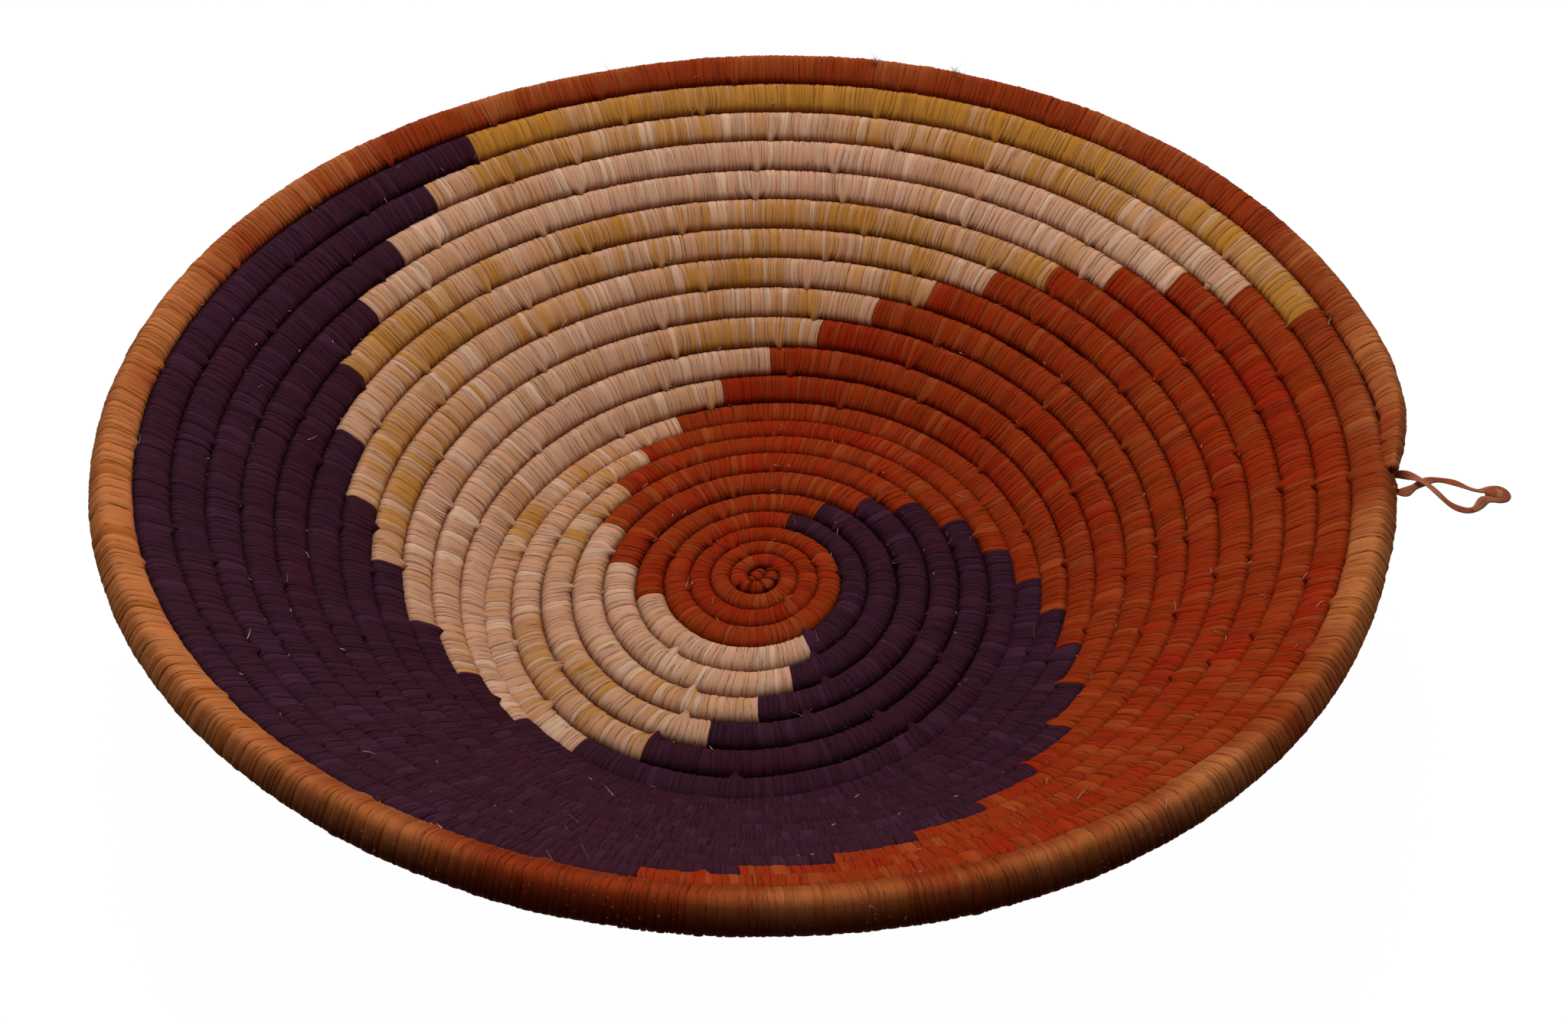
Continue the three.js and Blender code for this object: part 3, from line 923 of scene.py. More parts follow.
@dataclass
class WrappedCoil:
    """The coil's raffia: every wrap of one colour is a piece, swept strand by strand.

    A point of the surface is the coil's middle plus the section's half width times the cosine
    of the angle round the coil, outward along the profile, plus its half height times the sine,
    square to the profile.
    """

    route: CoilRoute
    shape: HandShape
    sides: int = 24
    strand_width: float = 1.5
    width_spread: float = 0.42
    press: float = 0.18
    wall_roundness: float = 0.6
    base_roundness: float = 0.82
    base_round_turn: float = 11.0
    coloured_courses: int = 17
    natural_start: ColourStart = ColourStart(3.8, 8.4, -0.23, 0.0234)
    purple_start: ColourStart = ColourStart(119.9, 7.4, 0.1765)
    orange_start: ColourStart = ColourStart(254.2, 7.2, 0.182)
    mustard: tuple[float, ...] = (0.95, 0.55, 0.12, 0.05, 0.7, 0.48, 0.45, 0.38, 0.28, 0.2,
                                  0.18, 0.32, 0.28, 0.38, 0.28, 0.08, 0.05)
    rim_tones: tuple[tuple[float, float], ...] = (
        (-0.04, 0.45),
        (0.0, 0.6),
        (0.05, 0.95),
        (0.14, 1.0),
        (0.2, 0.85),
        (0.33, 0.85),
        (0.4, 0.65),
        (0.45, 0.35),
        (0.5, 0.12),
        (0.58, 0.0),
        (0.64, 0.3),
        (0.7, 0.75),
        (0.8, 0.8),
        (0.86, 0.65),
        (0.9, 0.55),
        (0.945, 0.4),
        (0.965, 0.8),
        (1.06, 0.95),
    )
    stitch_spacing: float = 41.0
    stitch_reach: float = 2.7
    stitch_lift: float = 0.45
    stitch_half: float = 2.4
    gather_length: float = 4.6
    tip_stitches: tuple[float, ...] = (2.5, 6.5, 11.0, 16.0, 22.0)
    tip_length: float = 24.0
    tip_half: float = 2.3
    tip_inward: float = 1.5
    tip_lift: float = 1.5
    tuck_length: float = 7.0
    coil_start_turn: float = 21.6
    open_creases: tuple[tuple[float, float], ...] = (
        (3.07, 0.008), (4.176, 0.008), (6.092, 0.008), (7.112, 0.013))
    opening: float = 0.3
    rim_stitch: float = 0.4
    wall_stitch: float = 0.8
    wall_stitch_turn: float = 0.9
    base_stitch: float = 1.0
    base_stitch_turn: float = 10.0
    stitch_spread: float = 14.0
    stitch_gather: float = 0.55
    stitch_shade: float = 0.8
    shade_gap: float = 0.3
    shade_spread: float = 0.7
    rim_turn: float = 0.965
    rim_fade: float = 0.01
    front_shade: float = 1.1
    lean_reach: float = 0.55
    ripple_reach: float = 0.28
    end_fade: float = 12.0
    swell_share: float = 0.022
    dent_depth: float = 0.09
    tuck_share: float = 0.55
    flatness: float = 0.95
    seat_lift: float = 0.25
    least_height: float = 0.6
    height_fade: float = 0.9
    strand_places: tuple[float, ...] = (0.0, 0.13, 0.5, 0.87)
    strand_heights: tuple[float, ...] = (-0.13, 0.03, 0.08, 0.02)
    strand_stand: tuple[float, ...] = (0.3, 1.0, 1.0, 0.8)
    stand_spread: float = 0.05
    end_depth: float = 0.2
    groove_break: float = 0.12
    break_stretch: float = 3.1
    break_repeat: float = 13000.0
    tip_cap: float = 0.55
    drift_share: float = 0.26
    patch_share: float = 0.16
    dyed_tone: float = 0.36
    dyed_drift: float = 1.1
    # Painted shade: how much more of the darker second tone the inner side of a course takes.
    inner_side_shade: float = 0.16
    round_length: float = 25.0

    def __post_init__(self) -> None:
        """Draws the seeded noises and the stitches' places."""
        self.random = np.random.default_rng(17)
        self.lean = Wander(seed=3, spacing=31.0, around=3)
        self.ripple = Wander(seed=5, spacing=7.0, around=7)
        self.swell = Wander(seed=7, spacing=38.0)
        self.dent = Wander(seed=9, spacing=9.0, around=6)
        self.drift = Wander(seed=11, spacing=26.0)
        self.patches = Wander(seed=13, spacing=14.0)
        self.end = float(self.route.length_at(self.coil_start_turn))
        count = int(self.end / self.stitch_spacing)
        even = (np.arange(1, count) + 0.5) * self.stitch_spacing
        aside = np.random.default_rng(19).uniform(-self.stitch_spread, self.stitch_spread,
                                                  count - 1)
        self.stitches = np.concatenate([self.tip_stitches, even + aside])

    def stitch_offset(self, along: Array) -> Array:
        """How far past the nearest stitch a place lies, negative before it.

        Args:
            along: Lengths of coil from the rim's tip.

        Returns:
            The offsets, in millimetres.
        """
        following = np.clip(np.searchsorted(self.stitches, along), 1, len(self.stitches) - 1)
        before, after = self.stitches[following - 1], self.stitches[following]
        return np.where(along - before < after - along, along - before, along - after)

    def stitch_pull(self, along: Array, angle: Array) -> tuple[Array, Array, Array]:
        """The stitches, where a few strands reach over the crease onto the course inside.

        Reach and lift go with an S-shaped tooth along the coil, with the section's shoulder,
        which is twice the cosine times the sine, and with the coil's thickness, and the reach
        with the cosine once more. The strands gather by a share of their offset, which fades
        as a bell. Stitches are small on the rim, larger on the wall and full on the base.

        Args:
            along: Lengths of coil from the rim's tip.
            angle: Angles round the section, 0 outward.

        Returns:
            How far strands gather towards the nearest stitch, how far the section reaches
            inward, and how far that part is lifted.
        """
        offset = self.stitch_offset(along)
        side = np.clip(-np.cos(angle), 0, 1)
        shoulder = side * np.abs(np.sin(angle)) * 2
        tooth = smooth_step(1 - np.abs(offset) / self.stitch_half)
        fade = np.exp(-((offset / self.gather_length) ** 2)) * side**1.3
        gather = -self.stitch_gather * offset * fade
        turn = self.route.turn_at(along)
        past_rim = smooth_step((turn - self.wall_stitch_turn) * 8)
        on_base = smooth_step((turn - self.base_stitch_turn) / 2)
        size = (self.rim_stitch + (self.wall_stitch - self.rim_stitch) * past_rim
                + (self.base_stitch - self.wall_stitch) * on_base)
        scale = self.route.half(turn) / 4 * size
        reach = self.stitch_reach * tooth * shoulder * side * scale
        lift = self.stitch_lift * tooth * shoulder * np.sign(np.sin(angle)) * scale
        return gather, reach, lift

    def crease_shade(self, along: Array, angle: Array) -> Array:
        """How deep in a crease a place lies, as a share of painted shade.

        It is a high power of the cosine round the section, with nothing on the rim's own outer
        side, and more painted shade to either side of a stitch. Painted shade on the rim's under
        side at the front counts as well.

        Args:
            along: Lengths of coil from the rim's tip.
            angle: Angles round the section, 0 outward.

        Returns:
            Shares of painted shade from 0 to 1.
        """
        turn = self.route.turn_at(along)
        offset = np.abs(self.stitch_offset(along))
        from_shade = (offset - self.stitch_half - self.shade_gap) / self.shade_spread
        beside = np.exp(-(from_shade**2))
        inner = np.clip(-np.cos(angle), 0, 1)
        outward = np.clip(np.cos(angle), 0, 1)
        on_rim = 1 - smooth_step((turn - self.rim_turn) / self.rim_fade)
        # Painted shade deep in the creases between courses.
        depth = inner**7 + outward**7 * (1 - on_rim)
        # Painted shade in the crease to either side of a stitch.
        stitched = self.stitch_shade * beside * inner**1.5
        # Painted shade on the rim's under side at the front.
        shaded = self.front_shade * on_rim * self.front_underside_shade(turn, angle)
        return np.clip(depth + stitched + shaded, 0, 1)

    @staticmethod
    def front_underside_shade(turn: Array, angle: Array) -> Array:
        """How much painted shade a place takes on the under side of the coil at the bowl's front.

        The front is where the sine of the bowl's angle is near -1, and the under side is where
        the section's sine, a little turned, is low and its cosine isn't.

        Args:
            turn: Turns counted inward.
            angle: Angles round the section, 0 outward.

        Returns:
            Shares of painted shade from 0 to 1.
        """
        front = smooth_step(-3.0 * np.sin(FULL * turn) - 1.8)
        low = smooth_step(1.4 - 1.3 * np.sin(angle + 0.65))
        return front * low * smooth_step(2 * np.cos(angle) + 1)

    def parting(self, turn: Array, angle: Array) -> Array:
        """How far the two sides of a crease part where the courses don't quite touch: the
        opening times a flat-topped bell round each place, on the sides that face each other.

        Args:
            turn: Turns counted inward.
            angle: Angles round the section, 0 outward.

        Returns:
            Shifts outward along the profile, in millimetres.
        """
        parted = np.zeros(np.broadcast(turn, angle).shape)
        for place, spread in self.open_creases:
            inner = np.exp(-(((turn - place) / spread) ** 4)) * np.clip(-np.cos(angle), 0, 1)
            outer = np.exp(-(((turn - 1 - place) / spread) ** 4)) * np.clip(np.cos(angle), 0, 1)
            parted = parted + self.opening * (inner - outer)
        return parted

    def surface(self, along: Array, angle: Array, proud: Array) -> Array:
        """Points on the raffia, in the row's frame.

        The section's half width and half height take powers of the cosine and the sine, below 1,
        which square it a little. What would lie under the least height is pressed together over
        the table: its height is the least height times an exponential of what it falls short.

        Args:
            along: Lengths of coil from the rim's tip, for each point.
            angle: Angles round the section, 0 outward and a quarter circle up.
            proud: How far each point stands off the coil's usual surface.

        Returns:
            The points, in millimetres.
        """
        route = self.route
        gather, reach, lift = self.stitch_pull(along, angle)
        ends = smooth_step(along / self.end_fade) * smooth_step((self.end - along) / self.end_fade)
        slide = (self.lean_reach * self.lean.at(along, angle)
                 + self.ripple_reach * self.ripple.at(along, angle)) * ends
        place = np.clip(along + slide + gather * ends, 0, self.end)
        turn = route.turn_at(place)
        round_angle = FULL * turn
        radius, height, slope = route.section(turn)
        distance = route.distance(turn)
        out, rise, aside_x, aside_y = self.shape.shift(distance, round_angle)
        swell = (1 + self.swell_share * self.swell.at(place)
                 + self.shape.stretch(distance, round_angle, slope))
        full = (route.half(turn) + (route.course_gap / 2 + self.press) * route.grown(turn)) * swell
        on_tip = 1 - smooth_step(place / self.tip_length)
        full = np.maximum(full, self.tip_half * on_tip)
        tucked = (1 - self.tuck_share) * smooth_step(place / self.tuck_length)
        half = full * (self.tuck_share + tucked)
        dent = self.dent_depth * self.dent.at(place, angle)
        cosine, sine = np.cos(angle), np.sin(angle)
        on_base = smooth_step((turn - self.base_round_turn) / 3)
        power = self.wall_roundness + (self.base_roundness - self.wall_roundness) * on_base
        across = np.sign(cosine) * np.abs(cosine) ** power * (half + dent + proud)
        across = across - reach - self.tip_inward * on_tip + self.parting(turn, angle)
        upward = np.sign(sine) * np.abs(sine) ** power * (half * self.flatness + dent + proud)
        upward = upward + lift + self.tip_lift * on_tip
        radius = radius + out + across * np.cos(slope) - upward * np.sin(slope)
        height = height + rise + self.seat_lift + across * np.sin(slope) + upward * np.cos(slope)
        least = self.least_height
        pressed = least * np.exp((height - least) / self.height_fade)
        height = np.where(height < least, pressed, height)
        x = radius * np.cos(round_angle) + route.axis[0] + aside_x
        y = radius * np.sin(round_angle) + route.axis[1] + aside_y
        return np.stack([x, y, height], axis=-1)

    def strand_rings(self, start: float, end: float) -> tuple[Array, Array, Array]:
        """Rings for every strand between two places on the coil.

        Each strand has a ring in the groove where it starts, one on each shoulder and one on
        its crown, and the last groove closes the row.

        Args:
            start: The length of coil at which the wrap starts.
            end: The length at which it ends.

        Returns:
            Each ring's length along the coil, its strand number with the fraction, and how
            proud it stands.
        """
        count = max(3, round((end - start) / self.strand_width))
        widths = np.exp(self.random.normal(0, self.width_spread, count))
        edges = start + (end - start) * np.concatenate([[0], np.cumsum(widths) / widths.sum()])
        shares = np.array(self.strand_places)
        stand = self.random.normal(0, self.stand_spread, count)[:, None]
        heights = np.array(self.strand_heights) + stand * np.array(self.strand_stand)
        along = (edges[:-1, None] + np.diff(edges)[:, None] * shares).ravel()
        number = (np.arange(count)[:, None] + shares).ravel()
        return (np.append(along, end), np.append(number, count - 0.001),
                np.append(heights.ravel(), self.strand_heights[0]))

    def tone(self, dye: Dye | None, course: int, along: Array) -> Array:
        """How much of the dye's second tone shows: for natural raffia the course's share of
        mustard, for orange and purple one share, and on the rim straight lines between its own
        tones, each with the noise along the coil added.

        Args:
            dye: The wrap's colour, or None on the rim.
            course: The course's number.
            along: Lengths of coil from the rim's tip.

        Returns:
            The shares, about 0 to 1.
        """
        drift = self.drift_share * self.drift.at(along) + self.patch_share * self.patches.at(along)
        if dye is None:
            return np.interp(self.route.turn_at(along), *zip(*self.rim_tones)) + drift
        if dye is Dye.NATURAL:
            return self.mustard[course - 1] + drift
        return self.dyed_tone + self.dyed_drift * drift

    def add_wrap(self, number: int, name: str, start: float, end: float, finish: Raffia,
                 dye: Dye | None, course: int, materials: dict[Raffia, bpy.types.Material]) -> None:
        """One wrap of raffia, between two turns of the coil.

        Args:
            number: A number of its own, so that its strands differ from the other wraps'.
            name: The CAD node that it takes the place of.
            start: The turn at which it starts.
            end: The turn at which it ends.
            finish: Its raffia.
            dye: Its colour in the swirl, or None on the rim.
            course: The course's number.
            materials: The material of each raffia.
        """
        route = self.route
        first, last = float(route.length_at(start)), float(route.length_at(end))
        along, strands, proud = self.strand_rings(first, last)
        proud[[0, -1]] = -self.end_depth
        places, angles = np.meshgrid(along, -circle(self.sides), indexing="ij")
        groove = np.where(strands % 1 < 0.01, self.groove_break, 0.0)[:, None]
        broken = groove * self.ripple.at(places * self.break_stretch % self.break_repeat, angles)
        rings = self.surface(places, angles, proud[:, None] + broken)
        if start <= route.first_turn:
            rings[0] = rings[0].mean(0) + self.tip_cap * (rings[0] - rings[0].mean(0))
        # Painted shade in the creases and on the rim's front under side, for the material.
        crease_shade = self.crease_shade(places, angles)
        # Painted shade: the inner side of each course takes more of the darker second tone, the
        # outer side less.
        tone = self.tone(dye, course, along)[:, None] - self.inner_side_shade * np.cos(angles)
        piece = tube_mesh(name.replace("_wrap", "_raffia"), rings, strands + 1000 * number,
                          self.round_length, {"tone": tone, "crease_shade": crease_shade})
        finish_piece(piece, materials[finish], BOWL_BODY, [name])

    def build(self, materials: dict[Raffia, bpy.types.Material]) -> None:
        """Every wrap, from the rim's tip to the eye.

        Args:
            materials: The material of each raffia.
        """
        route = self.route
        first_natural = self.natural_start.turn(1)
        self.add_wrap(0, "orange_rim_wrap", route.first_turn, first_natural, Raffia.RIM,
                      None, 0, materials)
        for course in range(1, self.coloured_courses + 1):
            natural = self.natural_start.turn(course)
            purple = self.purple_start.turn(course)
            orange = self.orange_start.turn(course)
            following = self.natural_start.turn(course + 1)
            is_last = course == self.coloured_courses
            number = f"{course:02d}"
            self.add_wrap(3 * course, f"natural_wrap_{number}", natural, purple, Raffia.NATURAL,
                          Dye.NATURAL, course, materials)
            self.add_wrap(3 * course + 1, f"purple_wrap_{number}", purple, orange, Raffia.PURPLE,
                          Dye.PURPLE, course, materials)
            name = "orange_centre_wrap" if is_last else f"orange_wrap_{number}"
            stop = self.coil_start_turn if is_last else following
            self.add_wrap(3 * course + 2, name, orange, stop, Raffia.ORANGE, Dye.ORANGE, course,
                          materials)


@dataclass
class GrassBundle:
    """The bundle of grass stems inside the wraps, as one long lobed cord.

    Its radius at an angle is a mean plus a lobe for each stem: the cosine of the stems' number
    times the angle, which slowly turns along the coil.
    """

    coil: WrappedCoil
    stems: int = 7
    sides: int = 14
    steps_per_turn: int = 72
    cover: float = 1.6
    lobe: float = 0.25
    twist: float = 0.035
    end_inset: float = 1.5
    round_length: float = 18.0

    def build(self, material: bpy.types.Material) -> None:
        """The bundle, from one end of the coil to the other.

        Args:
            material: What it is made of.
        """
        route = self.coil.route
        turned = self.coil.coil_start_turn - route.first_turn
        turns = route.first_turn + turned * np.linspace(0, 1, int(turned * self.steps_per_turn))
        along = np.unique(np.clip(route.length_at(turns), self.end_inset,
                                  self.coil.end - self.end_inset))
        places, angles = np.meshgrid(along, -circle(self.sides), indexing="ij")
        lobes = self.lobe * np.cos(self.stems * (angles - self.twist * places))
        thin = -self.cover * smooth_step(route.half(route.turn_at(places)) / 3)
        rings = self.coil.surface(places, angles, thin + lobes)
        piece = tube_mesh("grass_bundle", rings, along, self.round_length,
                          {"tone": np.full(places.shape, 0.5)})
        finish_piece(piece, material, BOWL_BODY, ["grass_core"])


def grass_material() -> bpy.types.Material:
    """Dry grass stems: pale straw with long darker streaks.

    Returns:
        The material.
    """
    made = bpy.data.materials.new("dry_grass")
    graph = Graph.blank(made)
    parts = graph.node("SeparateXYZ", {0: graph.node("UVMap", uv_map="strands").outputs[0]})
    streak_place = graph.vector(graph.math("MULTIPLY", parts.outputs[0], 0.1), parts.outputs[1])
    streak = graph.noise(streak_place, 1.4, 3.0)
    colour = graph.mix(graph.rise(streak, 0.35, 0.7), linear(190, 160, 96), linear(126, 98, 48))
    bump = graph.node("Bump", {"Height": streak, "Strength": 0.4, "Distance": 0.3 * MM})
    shader = graph.node("BsdfPrincipled", {"Base Color": colour, "Roughness": 0.8,
                                           "Normal": bump.outputs[0]})
    graph.close("OutputMaterial", shader)
    return made


@dataclass
class HangingLoop:
    """The loop of raffia at the rim's end: one flat strand out, round the tip and back.

    Points are out, sideways and up from the middle of the loop's seat on the rim.
    """

    seat: tuple[float, float, float] = (141.6, -35.59, 65.69)
    angle: float = LOOP_ANGLE
    route_out: tuple[tuple[float, float, float], ...] = (
        (-0.6, 5.6, -0.2), (1.1, 6.1, 0.3), (2.4, 6.3, 0.4), (4.1, 6.1, 0.5), (5.9, 5.2, 0.7),
        (7.6, 4.0, 0.7), (9.4, 2.3, 0.5), (10.9, 0.7, 0.2), (12.3, -0.8, 0), (13.8, -1.8, 0),
        (15.4, -2.2, 0), (16.9, -2.1, 0), (18.2, -1.0, 0), (19.0, 0.7, 0), (19.7, 2.3, 0))
    tip_fold: tuple[tuple[float, float, float], ...] = (
        (20.7, 3.1, 0), (21.7, 2.8, 0.1), (23.0, 2.5, 0.2), (24.2, 2.9, 0.2), (25.1, 4.0, 0.2),
        (25.3, 5.2, 0.2), (24.7, 6.5, 0.2), (23.5, 7.3, 0.2), (22.3, 7.1, 0.1),
        (21.2, 6.1, 0))
    route_back: tuple[tuple[float, float, float], ...] = (
        (20.0, 5.2, 0), (18.3, 5.0, 0), (16.5, 5.5, 0), (14.7, 6.4, 0), (12.9, 6.9, 0),
        (11.1, 7.0, -0.2), (9.4, 7.3, -0.5), (7.8, 6.6, -0.8), (6.2, 5.0, -0.8),
        (5.0, 3.6, -0.7), (4.1, 2.3, -0.5), (3.2, 1.1, -0.4), (2.2, 0.4, -0.2), (0.2, 0.4, 0))
    width: float = 2.0
    thickness: float = 0.7
    cord: float = 1.15
    ease: float = 1.1
    steps: int = 260
    sides: int = 20
    width_waves: tuple[float, float] = (0.17, 0.1)
    roll_waves: tuple[float, float] = (0.45, 0.2)
    fold_place: float = 0.52
    fold_reach: float = 0.1
    fold_narrowing: float = 0.3
    fold_thickening: float = 0.5
    end_share: float = 0.012
    end_width: float = 0.4
    knot_place: float = 20.4
    knot_side: float = 4.9
    knot_length: float = 4.2
    knot_radius: float = 1.9
    knot_flatness: float = 0.45
    knot_rings: int = 30
    root_out: float = -0.5
    root_rings: int = 22
    root_sides: int = 24
    roots: tuple[tuple[str, float, tuple[float, float, float]], ...] = (
        ("far_root_knot", 5.8, (1.5, 1.9, 1.5)), ("near_root_knot", 0.7, (2.0, 2.4, 1.8)))

    def place(self, points: Array) -> Array:
        """Points given from the seat, turned and moved to the row's frame.

        Args:
            points: Points out, sideways and up from the seat.

        Returns:
            The same points in the row's frame.
        """
        cosine, sine = math.cos(self.angle), math.sin(self.angle)
        turned = np.stack([points[..., 0] * cosine - points[..., 1] * sine,
                           points[..., 0] * sine + points[..., 1] * cosine,
                           points[..., 2]], axis=-1)
        return turned + np.array(self.seat)

    def ribbon(self, line: Array, width: Array, thickness: Array, roll: Array) -> Array:
        """Rings of a flat strand along a line: an oval that lies across the line and level,
        rolls about it by an angle, and thins by a cosine where its fibres part.

        Args:
            line: Points along the strand's middle.
            width: The strand's width at each point.
            thickness: Its thickness at each point.
            roll: The angle by which it rolls at each point, in radians.

        Returns:
            The rings, as points x corners x 3.
        """
        level, above = cross_frames(line)
        across = level * np.cos(roll)[:, None] + above * np.sin(roll)[:, None]
        upward = above * np.cos(roll)[:, None] - level * np.sin(roll)[:, None]
        angle = circle(self.sides)
        groove = 1 - 0.5 * np.sin(angle) ** 2 * (1 + np.cos(3 * math.pi * np.cos(angle))) / 2
        wide = (width[:, None] / 2 * np.cos(angle))[..., None] * across[:, None]
        high = (thickness[:, None] / 2 * np.sin(angle) * groove)[..., None] * upward[:, None]
        return line[:, None] + wide + high

    def build(self, material: bpy.types.Material) -> None:
        """The strand and the tuft at its tip.

        The strand's width and roll are each a sum of two sine waves along it. Round the fold at
        the tip it is narrower, thicker and lies level, and both ends are drawn in.

        Args:
            material: What the loop is made of.
        """
        knot = self.build_knot(material)
        line = smooth_line(self.route_out + self.tip_fold + self.route_back, self.steps, self.ease)
        share = np.linspace(0, 1, self.steps)
        wave = np.random.default_rng(23).uniform(0, FULL, 4)
        folded = np.exp(-(((share - self.fold_place) / self.fold_reach) ** 4))
        width = self.width * (1 + self.width_waves[0] * np.sin(9 * FULL * share + wave[0])
                              + self.width_waves[1] * np.sin(23 * share + wave[1]))
        roll = (self.roll_waves[0] * np.sin(3 * FULL * share + wave[2])
                + self.roll_waves[1] * np.sin(31 * share + wave[3])) * (1 - folded)
        drawn = smooth_step(np.minimum(share, 1 - share) / self.end_share)
        ends = drawn * (1 - self.end_width) + self.end_width
        rings = self.ribbon(line, width * (1 - self.fold_narrowing * folded) * ends,
                            self.thickness * ends * (1 + self.fold_thickening * folded), roll)
        placed, path = self.place(rings), self.place(line)
        side = np.abs(np.cos(circle(self.sides)))
        tone = 0.45 + 0.5 * np.sin(4 * share * FULL + 1.1)[:, None] - 0.2 * side
        # Painted shade along the ribbon's grooves, where its fibres part.
        crease_shade = 0.7 * np.cos(1.5 * math.pi * side) ** 6 * np.ones_like(tone)
        piece = tube_mesh("loop_strand", placed, share * 3.0, 6.0,
                          {"tone": tone, "crease_shade": crease_shade})
        finish_piece(piece, material, LOOP_BODY,
                     ["loop_far_strand", "loop_near_strand"])

    def build_knot(self, material: bpy.types.Material) -> bpy.types.Object:
        """The gathered tuft inside the tip's fold: a flat bundle that swells from its neck,
        with a groove for each turn of fibre that binds it.

        Args:
            material: What the loop is made of.

        Returns:
            The tuft's object.
        """
        share = np.linspace(0, 1, self.knot_rings)
        out = self.knot_place + self.knot_length * share
        swell = 0.6 + 0.4 * smooth_step(share * 2.2)
        closed = np.sqrt(np.clip(1 - (2 * np.clip(share, 0.5, 1) - 1) ** 3, 0.02, 1))
        radius = self.knot_radius * swell * closed * (1 + 0.07 * np.sin(26 * share))
        angle = circle(self.sides)
        grooves = 1 + 0.07 * np.cos(6 * angle + 5 * share[:, None])
        across = self.knot_side + radius[:, None] * grooves * np.cos(angle)
        upward = self.knot_flatness * radius[:, None] * grooves * np.sin(angle)
        points = np.stack([np.broadcast_to(out[:, None], across.shape), across, upward], axis=-1)
        tone = np.broadcast_to((0.6 + 0.3 * np.sin(7 * share))[:, None], across.shape)
        # Painted shade towards the tuft's edges.
        crease_shade = np.broadcast_to(np.abs(np.cos(angle)) ** 3, across.shape)
        piece = tube_mesh("loop_tip", self.place(points), share * 2.0, 8.0,
                          {"tone": tone, "crease_shade": crease_shade})
        finish_piece(piece, material, LOOP_BODY, ["loop_knot"])
        return piece

    def build_roots(self, material: bpy.types.Material) -> None:
        """The knots of raffia on the rim out of which the loop's two ends come.

        Each is a flattened ball whose radius is one plus two small waves of its angles, as of
        strand wound over strand.

        Args:
            material: What they are made of.
        """
        rise = np.linspace(-0.47, 0.47, self.root_rings)[:, None] * math.pi
        turn = circle(self.root_sides)
        for name, side, size in self.roots:
            wound = (1 + 0.09 * np.cos(9 * rise + 2 * turn)
                     + 0.06 * np.cos(3 * turn - 4 * rise + side))
            points = np.stack([self.root_out + size[0] * wound * np.cos(rise) * np.cos(turn),
                               side + size[1] * wound * np.sin(rise) * np.ones_like(turn),
                               size[2] * wound * np.cos(rise) * np.sin(turn)], axis=-1)
            # Painted shade in the grooves between wound strands.
            crease_shade = np.clip(-np.cos(9 * rise + 2 * turn), 0, 1) ** 3 * 0.7
            tone = 0.75 + 0.2 * np.cos(5 * rise + turn)
            piece = tube_mesh(name, self.place(points[:, ::-1]), rise[:, 0] * 2.0, 10.0,
                              {"tone": tone, "crease_shade": crease_shade})
            finish_piece(piece, material, BOWL_BODY)


